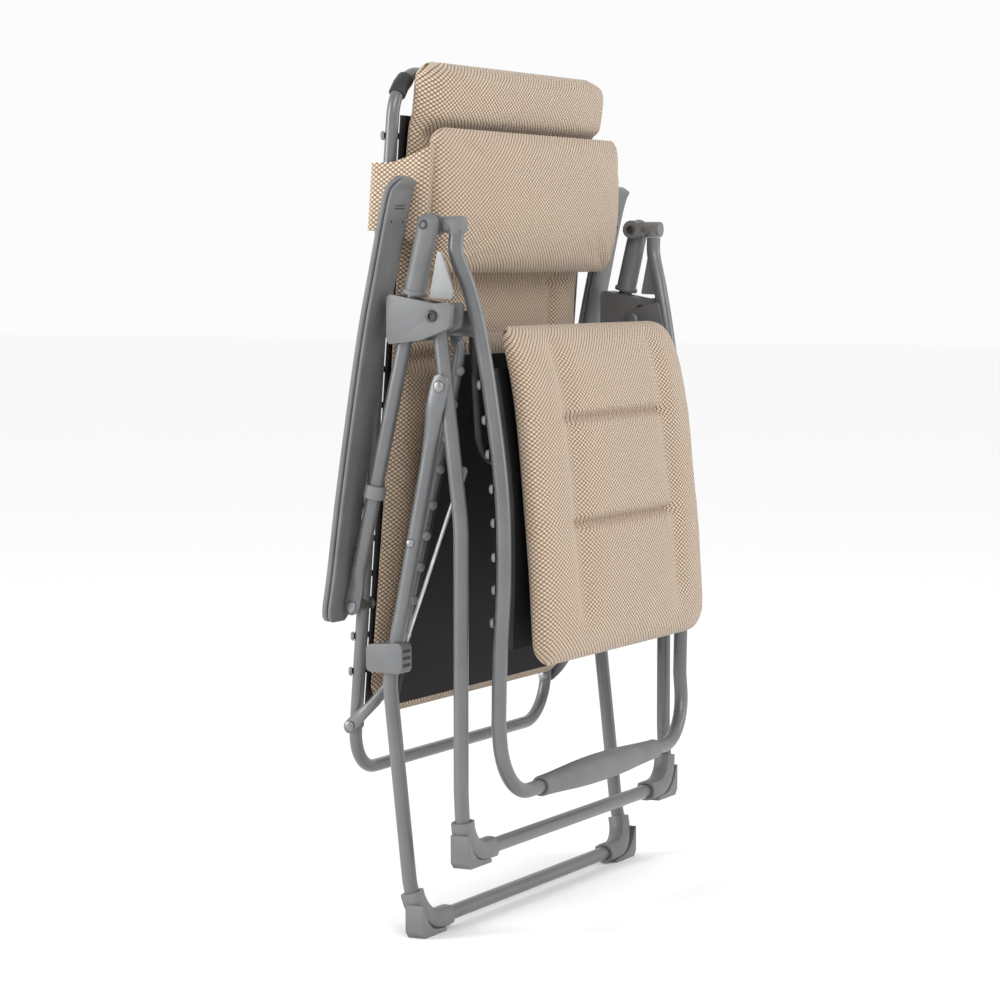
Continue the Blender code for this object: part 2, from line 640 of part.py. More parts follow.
def grip():
    """A swollen sleeve on the bar, bored for the tube."""
    rings = []
    stations = list(GRIP) + [(GRIP[-1][0], TUBE + GAP), (GRIP[0][0], TUBE + GAP)]
    for x, radius in stations:
        rings.append(ring((place(x, *LEGREST_BAR), Vector((0.0, 1.0, 0.0)), Vector((0.0, 0.0, 1.0))), radius,
                          radius, 14))
    return loft(rings, True)


add("foot_grip", grip(), legrest, PLASTIC)

for side, word in SIDES:
    y, z = ELBOW_PIVOT
    hub = add("elbow_" + word, rod(place(side * 0.3065, y, z), place(side * 0.3192, y, z), 0.0135, 16), legrest,
              PLASTIC)
    combine(hub, plate([(y, z - 0.0095), (y, z + 0.0095), (y - 0.022, z + 0.0095), (y - 0.022, z - 0.0095)],
                       side * 0.3070, side * 0.3188), "UNION")
    combine(hub, rod(place(side * LEGREST_TOP_X, y - 0.018, z), place(side * LEGREST_TOP_X, y - 0.044, z),
                     0.0112, 14), "UNION")
    combine(hub, rod(place(side * LEGREST_TOP_X, -0.0455, z), place(side * LEGREST_TOP_X, -0.0455, 0.9356),
                     0.0113, 14), "UNION")
    drill(hub, side, 0.3000, 0.3300, ELBOW_PIVOT, 0.0035)
    add("elbow_bolt_" + word, stud(side, 0.3185, 0.3065 - GAP, ELBOW_PIVOT, 0.0031, 0.0060, -0.0030), legrest,
        ZINC)
    tab = rounded([(KNEE_PIVOT[0] + 0.013, KNEE_PIVOT[1] - 0.012), (KNEE_PIVOT[0] + 0.013, KNEE_PIVOT[1] + 0.012),
                   (-0.0660, 0.8400), (-0.0760, 0.7980)], 0.004)
    knee = add("knee_plate_" + word, plate(tab, side * 0.2876, side * 0.2904), legrest, STEEL)
    drill(knee, side, 0.2800, 0.3000, KNEE_PIVOT, 0.0035)
    add("knee_bolt_" + word, stud(side, 0.2878, 0.2904 + GAP, KNEE_PIVOT, 0.0031, 0.0065, 0.0035), legrest, ZINC)

BRACE_X = 0.268
knee_brace = bent([place(-BRACE_X, -0.0440, 0.8100), place(-BRACE_X, -0.0560, 0.6330),
                   place(BRACE_X, -0.0560, 0.6330), place(BRACE_X, -0.0440, 0.8100)], (0.040, 0.040))
add("knee_brace", tube(knee_brace, 0.0060, 10), legrest, BLACK)

LEGREST_LINE = ((-0.0800, 0.758), (-0.0910, 0.691), (-0.1035, 0.587), (-0.1058, 0.480), (-0.1020, 0.385))
add("legrest_sling", thin_sheet(LEGREST_LINE, 0.280), legrest, BLACK)
LEGREST_PAD_PATH = ((-0.0720, 0.8120), (-0.0740, 0.8020), (-0.0840, 0.7580), (-0.0950, 0.6910), (-0.1060, 0.5870),
                    (-0.1140, 0.4800), (-0.1180, 0.4000), (-0.1230, 0.3680), (-0.1240, 0.3600))
LEGREST_PAD = ((0.0090, -0.0030, 0.94), (0.0240, -0.0020, 0.99), (0.0400, -0.0020, 1.0), (0.0440, -0.0020, 1.0),
               (0.0460, -0.0010, 1.0), (0.0480, -0.0020, 1.0), (0.0480, -0.0030, 1.0), (0.0380, -0.0030, 0.99),
               (0.0240, -0.0060, 0.95))
add("legrest_pad", slab(LEGREST_PAD_PATH, PAD_HALF, LEGREST_PAD), legrest, FABRIC)
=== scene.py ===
"""The finished look of the folding zero gravity recliner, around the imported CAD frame.

Every piece is in metres in the CAD frame. Side-view points are (y, z) pairs measured from the rear foot, and
place() moves them to the part's origin, as in the part's source.
"""

import math
from typing import NamedTuple

import bmesh
import bpy
import numpy as np
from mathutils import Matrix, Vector, noise


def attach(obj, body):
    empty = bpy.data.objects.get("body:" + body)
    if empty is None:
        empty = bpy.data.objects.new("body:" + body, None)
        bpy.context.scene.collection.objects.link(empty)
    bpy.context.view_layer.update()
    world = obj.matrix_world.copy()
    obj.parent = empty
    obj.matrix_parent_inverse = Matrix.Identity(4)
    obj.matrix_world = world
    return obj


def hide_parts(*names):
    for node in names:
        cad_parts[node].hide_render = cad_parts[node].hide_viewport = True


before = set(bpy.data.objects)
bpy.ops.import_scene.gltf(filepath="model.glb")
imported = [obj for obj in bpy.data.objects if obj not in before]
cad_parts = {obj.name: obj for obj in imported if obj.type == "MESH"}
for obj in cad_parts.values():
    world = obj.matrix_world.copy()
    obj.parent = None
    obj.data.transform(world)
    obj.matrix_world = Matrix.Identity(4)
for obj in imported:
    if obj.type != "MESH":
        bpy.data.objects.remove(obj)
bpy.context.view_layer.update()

FOOT_TO_CENTRE = 0.0159
SIDES = ((-1, "left"), (1, "right"))
X_WAY = Vector((1.0, 0.0, 0.0))
UP = Vector((0.0, 0.0, 1.0))

# Tube radii
TUBE = 0.0100
THIN_TUBE = 0.0088
SEAT_TUBE = 0.0075

# Distances from the middle plane
LEG_X = 0.330
ARM_X = 0.335
ARMREST_X = 0.3385
BACK_X = 0.293
SEAT_X = 0.2835
LEGREST_X = 0.299
PAD_HALF = 0.262
PILLOW_HALF = 0.284

# Pivots and centres in side view
LEG_PIVOT = (-0.0345, 0.736)
BRACKET_BOLT = (-0.0275, 0.828)
ELBOW_PIVOT = (-0.0130, 0.947)
BACK_PIVOT = (0.1030, 0.439)
SEAT_PIVOT = (0.1210, 0.274)
KNEE_PIVOT = (-0.0250, 0.814)
BLOCK_CENTRE = (0.0421, 0.374)
STOP_RIVET = (0.0120, 0.528)
BACK_TOP = (0.0580, 1.150)
BACK_BOTTOM = (0.1255, 0.2095)


def place(x, y, z):
    return Vector((x, y + FOOT_TO_CENTRE, z))


def between(start, end, share):
    return (start[0] + (end[0] - start[0]) * share, start[1] + (end[1] - start[1]) * share)


def show(piece):
    bpy.context.scene.collection.objects.link(piece)


# Materials

class Graph:
    """A short way to write a material's nodes."""

    def __init__(self, name):
        self.material = bpy.data.materials.new(name)
        self.material.use_nodes = True
        self.tree = self.material.node_tree
        self.shader = self.tree.nodes["Principled BSDF"]

    def node(self, kind, sockets=(), **settings):
        made = self.tree.nodes.new("ShaderNode" + kind)
        for key, value in settings.items():
            setattr(made, key, value)
        for key, value in dict(sockets).items():
            self.put(made.inputs[key], value)
        return made

    def put(self, socket, value):
        if isinstance(value, bpy.types.NodeSocket):
            self.tree.links.new(value, socket)
        else:
            socket.default_value = value

    def math(self, operation, first, second):
        return self.node("Math", {0: first, 1: second}, operation=operation).outputs[0]

    def noise(self, where, scale, detail=2.0):
        return self.node("TexNoise", {"Vector": where, "Scale": scale, "Detail": detail}).outputs[0]

    def map(self, value, low, high, to_low, to_high, smooth=False):
        kind = "SMOOTHSTEP" if smooth else "LINEAR"
        return self.node("MapRange", {0: value, 1: low, 2: high, 3: to_low, 4: to_high},
                         interpolation_type=kind).outputs[0]

    def mix(self, share, first, second):
        made = self.tree.nodes.new("ShaderNodeMix")
        made.data_type = "RGBA"
        self.put(made.inputs[0], share)
        self.put(made.inputs[6], first)
        self.put(made.inputs[7], second)
        return made.outputs[2]

    def bump(self, height, strength, distance):
        return self.node("Bump", {"Height": height, "Strength": strength, "Distance": distance}).outputs[0]

    def place(self):
        return self.node("TexCoord").outputs["Object"]

    def shade(self, **sockets):
        names = {"base": "Base Color", "rough": "Roughness", "metal": "Metallic", "normal": "Normal",
                 "sheen": "Sheen Weight", "sheen_rough": "Sheen Roughness", "coat": "Coat Weight",
                 "coat_rough": "Coat Roughness", "specular": "Specular IOR Level"}
        for key, value in sockets.items():
            self.put(self.shader.inputs[names[key]], value)
        return self.material


def powder_coat(name, dark, light, rough):
    """Grey painted tube: fine orange peel, slow shifts of tone and duller patches."""
    g = Graph(name)
    where = g.place()
    peel = g.noise(where, 1500.0, 2.0)
    slow = g.noise(where, 14.0, 4.0)
    fleck = g.noise(where, 5200.0, 1.0)
    tone = g.math("ADD", g.map(slow, 0.3, 0.7, 0.15, 0.65), g.map(fleck, 0.4, 0.6, 0.0, 0.35))
    return g.shade(base=g.mix(tone, (*dark, 1.0), (*light, 1.0)),
                   rough=g.map(slow, 0.3, 0.7, rough - 0.05, rough + 0.06), metal=0.25, coat=0.12,
                   coat_rough=0.25, normal=g.bump(peel, 0.12, 0.0004))


def moulded(name, dark, light, rough, grain=2200.0, depth=0.12):
    """Moulded plastic with a spark-eroded grain."""
    g = Graph(name)
    where = g.place()
    pits = g.noise(where, grain, 3.0)
    slow = g.noise(where, 22.0, 4.0)
    return g.shade(base=g.mix(g.map(slow, 0.3, 0.7, 0.0, 1.0), (*dark, 1.0), (*light, 1.0)),
                   rough=g.map(pits, 0.3, 0.7, rough - 0.06, rough + 0.08),
                   normal=g.bump(pits, depth, 0.0003))


def plated(name, dark, light):
    """Zinc-plated steel, lightly brushed round its axis."""
    g = Graph(name)
    where = g.place()
    lines = g.noise(g.node("Mapping", {"Vector": where, "Scale": (60.0, 900.0, 900.0)}).outputs[0], 3.0, 3.0)
    slow = g.noise(where, 60.0, 3.0)
    return g.shade(base=g.mix(g.map(slow, 0.3, 0.7, 0.0, 1.0), (*dark, 1.0), (*light, 1.0)),
                   rough=g.map(lines, 0.3, 0.7, 0.28, 0.46), metal=0.85, normal=g.bump(lines, 0.15, 0.0002))


CELL_ACROSS = 0.0084
CELL_ALONG = 0.0060
YARN_PITCH = 0.0017


def diamond_mesh(name):
    """Woven cover: cream cells in a net of crossing brown threads, laid out by the "cloth" attribute."""
    g = Graph(name)
    where = g.node("Attribute", attribute_name="cloth").outputs["Vector"]
    split = g.node("SeparateXYZ", {0: where})
    wobble = g.noise(where, 55.0, 2.0)
    across = g.math("DIVIDE", split.outputs[0], CELL_ACROSS)
    along = g.math("ADD", g.math("DIVIDE", split.outputs[1], CELL_ALONG),
                   g.map(wobble, 0.3, 0.7, -0.10, 0.10))
    first = g.math("PINGPONG", g.math("ADD", across, along), 0.5)
    second = g.math("PINGPONG", g.math("SUBTRACT", across, along), 0.5)
    near = g.math("MINIMUM", first, second)
    cell = g.map(near, 0.055, 0.165, 0.0, 1.0, True)
    fine = g.noise(where, 2400.0, 3.0)
    slow = g.noise(where, 9.0, 3.0)
    cream = g.mix(g.map(fine, 0.35, 0.65, 0.0, 1.0), (0.50, 0.370, 0.258, 1.0), (0.82, 0.660, 0.495, 1.0))
    cream = g.mix(g.map(slow, 0.3, 0.7, 0.0, 0.35), cream, (0.60, 0.455, 0.345, 1.0))
    brown = g.mix(g.map(fine, 0.35, 0.65, 0.0, 1.0), (0.045, 0.025, 0.014, 1.0), (0.120, 0.074, 0.046, 1.0))
    dome = g.map(near, 0.0, 0.34, 0.0, 1.0, True)
    height = g.math("ADD", dome, g.math("MULTIPLY", fine, 0.22))
    return g.shade(base=g.mix(cell, brown, cream), rough=g.map(fine, 0.3, 0.7, 0.62, 0.85), sheen=0.25,
                   sheen_rough=0.4, specular=0.35, normal=g.bump(height, 0.75, 0.0011))


def textile(name, dark, light):
    """Stretched black sling: a plain weave of coated yarns."""
    g = Graph(name)
    split = g.node("SeparateXYZ", {0: g.node("Attribute", attribute_name="cloth").outputs["Vector"]})
    across = g.math("PINGPONG", g.math("DIVIDE", split.outputs[0], YARN_PITCH), 0.5)
    along = g.math("PINGPONG", g.math("DIVIDE", split.outputs[1], YARN_PITCH), 0.5)
    yarn = g.map(g.math("MULTIPLY", across, along), 0.015, 0.16, 0.0, 1.0, True)
    slow = g.noise(g.place(), 16.0, 3.0)
    tone = g.math("MULTIPLY", yarn, g.map(slow, 0.3, 0.7, 0.55, 1.0))
    return g.shade(base=g.mix(tone, (*dark, 1.0), (*light, 1.0)), rough=0.72, specular=0.3,
                   normal=g.bump(yarn, 0.6, 0.0004))


PAINT = powder_coat("grey_powder_coat", (0.105, 0.108, 0.112), (0.158, 0.162, 0.167), 0.31)
PLASTIC = moulded("grey_moulded_plastic", (0.122, 0.125, 0.128), (0.154, 0.157, 0.160), 0.45)
LEVER = moulded("pale_lever_plastic", (0.250, 0.255, 0.260), (0.300, 0.305, 0.310), 0.42)
BLACK = moulded("black_moulded_plastic", (0.012, 0.012, 0.013), (0.022, 0.022, 0.024), 0.50)
ELASTIC = moulded("black_elastic", (0.010, 0.010, 0.011), (0.026, 0.026, 0.028), 0.75, 1400.0, 0.5)
ZINC = plated("zinc_plate", (0.19, 0.19, 0.195), (0.33, 0.33, 0.335))
SCREW = plated("blackened_screw", (0.045, 0.045, 0.047), (0.100, 0.100, 0.104))
BRIGHT_ZINC = plated("bright_zinc_plate", (0.48, 0.48, 0.49), (0.66, 0.66, 0.67))
COVER = diamond_mesh("sand_diamond_mesh")
SLING = textile("black_sling_weave", (0.002, 0.002, 0.003), (0.010, 0.010, 0.011))
HOOK = moulded("grey_hook_plastic", (0.150, 0.155, 0.160), (0.200, 0.205, 0.210), 0.35)


# Mesh helpers

def smooth_path(points, steps=5):
    """A Catmull-Rom curve through the points."""
    ends = [points[0] * 2 - points[1], *points, points[-1] * 2 - points[-2]]
    path = []
    for a, b, c, d in zip(ends, ends[1:], ends[2:], ends[3:]):
        for step in range(steps):
            t = step / steps
            path.append(0.5 * (2 * b + (c - a) * t + (2 * a - 5 * b + 4 * c - d) * t * t
                               + (3 * b - a - 3 * c + d) * t ** 3))
    return path + [points[-1]]


def round_corner(before, corner, after, radius, steps=12):
    """The arc of this radius that joins two straight runs at a corner."""
    into = (before - corner).normalized()
    out = (after - corner).normalized()
    half = into.angle(out) / 2
    reach = radius / math.tan(half)
    centre = corner + (into + out).normalized() * (radius / math.sin(half))
    start = corner + into * reach - centre
    end = corner + out * reach - centre
    turn = start.angle(end)
    return [centre + (start * math.sin(turn * (1 - i / steps)) + end * math.sin(turn * i / steps))
            / math.sin(turn) for i in range(steps + 1)]


def bent(points, radii, closed=False):
    """A run of straight tubes with a bend of its own radius at each corner."""
    count = len(points)
    corners = range(count) if closed else range(1, count - 1)
    path = [] if closed else [points[0]]
    for index, radius in zip(corners, radii):
        steps = 12 if radius < 0.1 else 6
        path += round_corner(points[index - 1], points[index], points[(index + 1) % count], radius, steps)
    return path if closed else path + [points[-1]]


def frames_along(path, closed=False):
    """At each point: the point and two directions across the path, carried along without twist."""
    count = len(path)
    tangents = []
    for i in range(count):
        back = path[i - 1] if closed or i else path[0]
        ahead = path[(i + 1) % count] if closed or i < count - 1 else path[-1]
        tangents.append((ahead - back).normalized())
    across = X_WAY - tangents[0] * tangents[0].x
    if across.length < 0.3:
        across = UP - tangents[0] * tangents[0].z
    across.normalize()
    found = []
    for i, tangent in enumerate(tangents):
        if i:
            across = across.copy()
            across.rotate(tangents[i - 1].rotation_difference(tangent))
        found.append((path[i], across, tangent.cross(across).normalized()))
    return found


def ring(around, first, second, sides=24, flat=2.0):
    """A closed outline across a path: round at flat 2, squarer above it."""
    centre, across, other = around
    points = []
    for i in range(sides):
        angle = 2 * math.pi * (i + 0.5) / sides
        c, s = math.cos(angle), math.sin(angle)
        size = (abs(c) ** flat + abs(s) ** flat) ** (-1 / flat)
        points.append(centre + across * (c * size * first) + other * (s * size * second))
    return points


def loft(rings, closed=False, shape=None):
    """One skin over a row of outlines, capped at both ends unless the row closes on itself."""
    shape = shape or bmesh.new()
    loops = [[shape.verts.new(p) for p in outline] for outline in rings]
    for first, second in list(zip(loops, loops[1:])) + ([(loops[-1], loops[0])] if closed else []):
        for i in range(len(first)):
            j = (i + 1) % len(first)
            shape.faces.new((first[i], first[j], second[j], second[i]))
    if not closed:
        shape.faces.new(loops[0])
        shape.faces.new(loops[-1])
    return shape


def add(name, shape, body, look, replaced=(), angle=40.0):
    """A new piece that rides on a CAD body and stands for CAD nodes."""
    bmesh.ops.recalc_face_normals(shape, faces=shape.faces)
    mesh = bpy.data.meshes.new(name)
    shape.to_mesh(mesh)
    shape.free()
    mesh.shade_smooth()
    mesh.set_sharp_from_angle(angle=math.radians(angle))
    mesh.materials.append(look)
    piece = bpy.data.objects.new(name, mesh)
    show(piece)
    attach(piece, body)
    if replaced:
        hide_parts(*replaced)
    return piece


def tube(path, radius, sides=24, closed=False):
    return loft([ring(f, radius, radius, sides) for f in frames_along(path, closed)], closed)


def lathe(centre, axis, profile, sides=32, closed=False, shape=None):
    """A turned shape: (distance along the axis, radius) from a centre."""
    axis = axis.normalized()
    across = UP if abs(axis.x) > 0.5 else X_WAY
    across = (across - axis * across.dot(axis)).normalized()
    other = axis.cross(across)
    rings = [ring((centre + axis * far, across, other), radius, radius, sides) for far, radius in profile]
    return loft(rings, closed, shape)


def mark_cloth(piece, field):
    """Stores where each point lies on the flat cloth, for the woven materials."""
    attribute = piece.data.attributes.new("cloth", "FLOAT_VECTOR", "POINT")
    attribute.data.foreach_set("vector", np.array(field, np.float32).reshape(-1))


# Frame tubes

REAR_LEG = ((-0.0085, 0.628), (0.0485, 0.342), (0.0190, 0.074), (0.0050, 0.0168))
REAR_TOP = ((0.3440, -0.0395, 0.7500, 0.0022, 0.0070), (0.3440, -0.0380, 0.7460, 0.0030, 0.0125),
            (0.3440, -0.0345, 0.7360, 0.0030, 0.0135), (0.3440, -0.0300, 0.7180, 0.0030, 0.0135),
            (0.3430, -0.0255, 0.7020, 0.0035, 0.0130), (0.3350, -0.0190, 0.6780, 0.0075, 0.0115),
            (0.3305, -0.0135, 0.6560, 0.0098, 0.0102))
FRONT_LEG = ((-0.0265, 0.842), (-0.0290, 0.800), (-0.0585, 0.555), (-0.0585, 0.200), (-0.0630, 0.1158))
FOOT_BEND = 0.045


def leg_frame(name, points, radii, body, top=()):
    """A U of tube: both sides in side view, with a bar between the feet.

    top holds the flattened upper end, as (x, y, z, half width, half depth).
    """
    left = [place(-LEG_X, *p) for p in points]
    right = [place(LEG_X, *p) for p in reversed(points)]
    head_left = [place(-a, y, z) for a, y, z, _, _ in top]
    head_right = [place(a, y, z) for a, y, z, _, _ in reversed(top)]
    frames = frames_along(head_left + bent(left + right, radii) + head_right)
    rings = []
    for i, around in enumerate(frames):
        from_end = min(i, len(frames) - 1 - i)
        first, second = (top[from_end][3], top[from_end][4]) if from_end < len(top) else (TUBE, TUBE)
        rings.append(ring(around, first, second))
    return add(name, loft(rings), body, PAINT, [name + "_tube"])


leg_frame("rear_leg", REAR_LEG, (0.10, 0.12, FOOT_BEND, FOOT_BEND, 0.12, 0.10), "rear_leg", REAR_TOP)
leg_frame("front_leg", FRONT_LEG, (0.12, 0.35, 0.5, FOOT_BEND, FOOT_BEND, 0.5, 0.35, 0.12), "front_leg")

BACK_CORNERS = [place(-BACK_X, *BACK_BOTTOM), place(BACK_X, *BACK_BOTTOM), place(BACK_X, *BACK_TOP),
                place(-BACK_X, *BACK_TOP)]
BACK_BEND = 0.060
add("back_frame", tube(bent(BACK_CORNERS, (BACK_BEND,) * 4, True), THIN_TUBE, closed=True), "back", PAINT,
    ["back_frame_tube"])

LEGREST_TOP = ((0.317, -0.0455, 0.9350), (0.317, -0.0460, 0.9080), (0.3080, -0.0600, 0.862),
               (0.3020, -0.0745, 0.796))
LEGREST = ((-0.0910, 0.691), (-0.1035, 0.587), (-0.1058, 0.480), (-0.1005, 0.380), (-0.0985, 0.290))
LEGREST_BAR = (-0.1060, 0.191)
LEGREST_BEND = 0.075
legrest_points = [*LEGREST_TOP, *((LEGREST_X, y, z) for y, z in LEGREST)]
legrest_side = smooth_path([place(-x, y, z) for x, y, z in legrest_points], 6)
legrest_half = legrest_side + round_corner(legrest_side[-1], place(-LEGREST_X, *LEGREST_BAR),
                                           place(0.0, *LEGREST_BAR), LEGREST_BEND, 14)
legrest_mirrored = [Vector((-p.x, p.y, p.z)) for p in reversed(legrest_half)]
add("legrest_frame", tube(legrest_half + legrest_mirrored, TUBE), "legrest", PAINT,
    ["legrest_frame_tube"])

KNEE_LOOP_X = 0.268
KNEE_LOOP_TOP = (-0.0440, 0.8100)
KNEE_LOOP_BOTTOM = (-0.0560, 0.6330)
knee_path = bent([place(-KNEE_LOOP_X, *KNEE_LOOP_TOP), place(-KNEE_LOOP_X, *KNEE_LOOP_BOTTOM),
                  place(KNEE_LOOP_X, *KNEE_LOOP_BOTTOM), place(KNEE_LOOP_X, *KNEE_LOOP_TOP)], (0.040, 0.040))
# The loop's black material is painted shade: the loop sits in shadow, and it is drawn dark for that.
add("knee_loop", tube(knee_path, 0.0060, 20), "legrest", BLACK, ["knee_brace"])

ARM_WAY = (place(0.0, *BACK_PIVOT) - place(0.0, *ELBOW_PIVOT)).normalized()
ARM_SQUARE = Vector((0.0, -ARM_WAY.z, ARM_WAY.y))
ARM_LENGTH = math.dist(ELBOW_PIVOT, BACK_PIVOT)


# The arm tube's half width and half depth, from the elbow down to its flat end at the back pivot.
ARM_STATIONS = ((0.0065, TUBE, TUBE), (ARM_LENGTH - 0.052, TUBE, TUBE), (ARM_LENGTH - 0.042, 0.0085, 0.0103),
                (ARM_LENGTH - 0.034, 0.0055, 0.0108), (ARM_LENGTH - 0.028, 0.0038, 0.0111),
                (ARM_LENGTH - 0.014, 0.0030, 0.0115), (ARM_LENGTH, 0.0030, 0.0115),
                (ARM_LENGTH + 0.005, 0.0030, 0.0102), (ARM_LENGTH + 0.009, 0.0029, 0.0070),
                (ARM_LENGTH + 0.0113, 0.0025, 0.0030))


def arm_point(side, far):
    """A point on the arm tube's axis, this far down from the elbow."""
    return place(side * ARM_X, *ELBOW_PIVOT) + ARM_WAY * far


SEAT_POINTS = ((SEAT_X, -0.0235, 0.8220), (SEAT_X, -0.0250, 0.8140), (SEAT_X, -0.0290, 0.7900),
               (SEAT_X, -0.0310, 0.7700), (SEAT_X, 0.0130, 0.5800), (SEAT_X, 0.0415, 0.4560),
               (0.2870, 0.0640, 0.3520), (0.2990, 0.0830, 0.3140), (0.308, 0.1010, 0.2930),
               (0.308, 0.1210, 0.2740), (0.308, 0.1280, 0.2670))
SEAT_ENDS = ((0.0025, 0.0050), (0.0028, 0.0085), (0.0030, 0.0100), (0.0034, 0.0098), (0.0055, 0.0085),
             (SEAT_TUBE, SEAT_TUBE))
SEAT_STEPS = 4
SEAT_ROWS_PER_END = 2


def seat_rail(side, word):
    """A bent seat tube whose two ends are pressed flat for their pivots."""
    frames = frames_along(smooth_path([place(side * x, y, z) for x, y, z in SEAT_POINTS], SEAT_STEPS))
    rings = []
    for i, around in enumerate(frames):
        from_end = min(min(i, len(frames) - 1 - i) / SEAT_ROWS_PER_END, len(SEAT_ENDS) - 1)
        low = min(int(from_end), len(SEAT_ENDS) - 2)
        rings.append(ring(around, *between(SEAT_ENDS[low], SEAT_ENDS[low + 1], from_end - low)))
    add("seat_rail_" + word, loft(rings), "seat", PAINT, ["seat_tube_" + word])


for side, word in SIDES:
    arm_rings = [ring((arm_point(side, far), X_WAY, ARM_SQUARE), wide, deep)
                 for far, wide, deep in ARM_STATIONS]
    add("arm_rail_" + word, loft(arm_rings), "arms", PAINT, ["arm_tube_" + word])
    seat_rail(side, word)


# Bolts and rivets

class Head(NamedTuple):
    """A domed head on a face at x, outward or inward along X, with a round socket where one is asked."""
    x: float
    radius: float
    height: float
    outward: int = 1
    socket: float = 0.0


class Shank(NamedTuple):
    """A round pin from one x to another."""
    start: float
    end: float
    radius: float


# Height and radius of a head's outline, as shares of its own, from its face to its crown.
PLAIN_DOME = ((0.0, 1.0), (0.25, 1.0), (0.55, 0.90), (0.80, 0.68), (0.95, 0.38), (1.0, 0.06))
SOCKET_DOME = ((0.0, 1.0), (0.55, 1.0), (0.85, 0.93), (1.0, 0.80))
SOCKET_WALL = ((1.0, 1.12), (0.35, 1.0))
SOCKET_FLOOR = (0.30, 0.0002)


def fastener(side, word, name, body, node, look, point, shanks, heads):
    """A rivet or screw through one pivot, with the CAD node it stands for, if any."""
    shape = bmesh.new()
    for shank in shanks:
        profile = ((0.0, shank.radius), (shank.end - shank.start, shank.radius))
        lathe(place(side * shank.start, *point), Vector((side, 0.0, 0.0)), profile, 20, shape=shape)
    for head in heads:
        if head.socket:
            profile = [(head.height * far, head.radius * wide) for far, wide in SOCKET_DOME]
            profile += [(head.height * far, head.socket * wide) for far, wide in SOCKET_WALL]
            profile.append((head.height * SOCKET_FLOOR[0], SOCKET_FLOOR[1]))
        else:
            profile = [(head.height * far, head.radius * wide) for far, wide in PLAIN_DOME]
        lathe(place(side * head.x, *point), Vector((side * head.outward, 0.0, 0.0)), profile,
              24 if head.socket else 28, shape=shape)
    add(name + "_" + word, shape, body, look, [node + "_" + word] if node else ())


FASTENERS = (
    ("leg_rivet", "rear_leg", "leg_pivot_rivet", ZINC, LEG_PIVOT, (Shank(LEG_X - TUBE, 0.3470, 0.0040),),
     (Head(0.3470, 0.0078, 0.0034), Head(LEG_X - TUBE, 0.0075, 0.0030, -1))),
    ("stop_head", "rear_leg", "stop_rivet", ZINC, STOP_RIVET, (),
     (Head(LEG_X + TUBE - 0.0008, 0.0062, 0.0042),)),
    ("bracket_screw", "brackets", "bracket_bolt", SCREW, BRACKET_BOLT,
     (Shank(ARM_X - 0.0215, ARM_X + 0.0170, 0.0040),),
     (Head(ARM_X + 0.0172, 0.0078, 0.0036, 1, 0.0040), Head(ARM_X - 0.0217, 0.0075, 0.0030, -1, 0.0038))),
    ("back_rivet", "back", "back_pivot_rivet", ZINC, BACK_PIVOT,
     (Shank(BACK_X - THIN_TUBE, ARM_X + 0.0030, 0.0040),
      Shank(BACK_X + THIN_TUBE + 0.0006, ARM_X - 0.0045, 0.0065)),
     (Head(ARM_X + 0.0032, 0.0078, 0.0034), Head(BACK_X - THIN_TUBE, 0.0072, 0.0030, -1))),
    ("seat_rivet", "seat", "seat_pivot_rivet", ZINC, SEAT_PIVOT, (Shank(BACK_X - THIN_TUBE, 0.3122, 0.0040),),
     (Head(0.3124, 0.0078, 0.0034), Head(BACK_X - THIN_TUBE, 0.0072, 0.0030, -1))),
    ("elbow_screw", "legrest", "elbow_bolt", SCREW, ELBOW_PIVOT, (Shank(0.3066, 0.3185, 0.0031),),
     (Head(0.3064, 0.0062, 0.0030, -1, 0.0034),)),
    ("knee_screw", "legrest", "knee_bolt", SCREW, KNEE_PIVOT, (Shank(0.2878, 0.2906, 0.0031),),
     (Head(0.2907, 0.0068, 0.0034, 1, 0.0034),)),
)
BALL_SCREW = ("arm_ball_screw", "arms", None, SCREW, ELBOW_PIVOT, (),
              (Head(ARM_X + 0.0128, 0.0064, 0.0030, 1, 0.0036),))

for side, word in SIDES:
    for row in FASTENERS:
        fastener(side, word, *row)


# CAD nodes that keep their shape: worn edges and a better material

CORNER_ANGLE = math.radians(28)
SOFTENED = (("slide_block", PLASTIC, 0.0012), ("arm_bracket", PLASTIC, 0.0012),
            ("rear_foot_cap", PLASTIC, 0.0010), ("front_foot_cap", PLASTIC, 0.0010),
            ("elbow", PLASTIC, 0.0010), ("lock_lever", LEVER, 0.0005), ("knee_plate", PAINT, 0.0004),
            ("brace_rod", BRIGHT_ZINC, 0.0004), ("clamp_insert", BLACK, 0.0),
            ("top_corner_cap", BLACK, 0.0004))


def keep(node, look, width):
    """The CAD node in a better material, with its edges softened by this width."""
    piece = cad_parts[node]
    piece.data.materials.clear()
    piece.data.materials.append(look)
    piece.data.shade_smooth()
    if width:
        weld = piece.modifiers.new("join_corners", "WELD")
        weld.merge_threshold = 0.000001
        bevel = piece.modifiers.new("soften", "BEVEL")
        bevel.width = width
        bevel.segments = 3
        bevel.limit_method = "ANGLE"
        bevel.angle_limit = CORNER_ANGLE
        bevel.harden_normals = True


for side, word in SIDES:
    for node, look, width in SOFTENED:
        keep(node + "_" + word, look, width)


# Arm sleeves, clips, armrests and the foot grip

ARMREST_BACK = ((0.0230, 1.011), (0.0370, 0.985), (0.0590, 0.885), (0.0790, 0.785),
                (0.1080, 0.600), (0.1240, 0.480), (0.1340, 0.421))


# Distances in front of the armrest's back line, and half widths, of its upper shell and its underside.
SHELL = (0.0, 0.0076, 0.031)
UNDERSIDE = (0.0079, 0.0135, 0.0285)
BLUNT_SHARE = 0.60

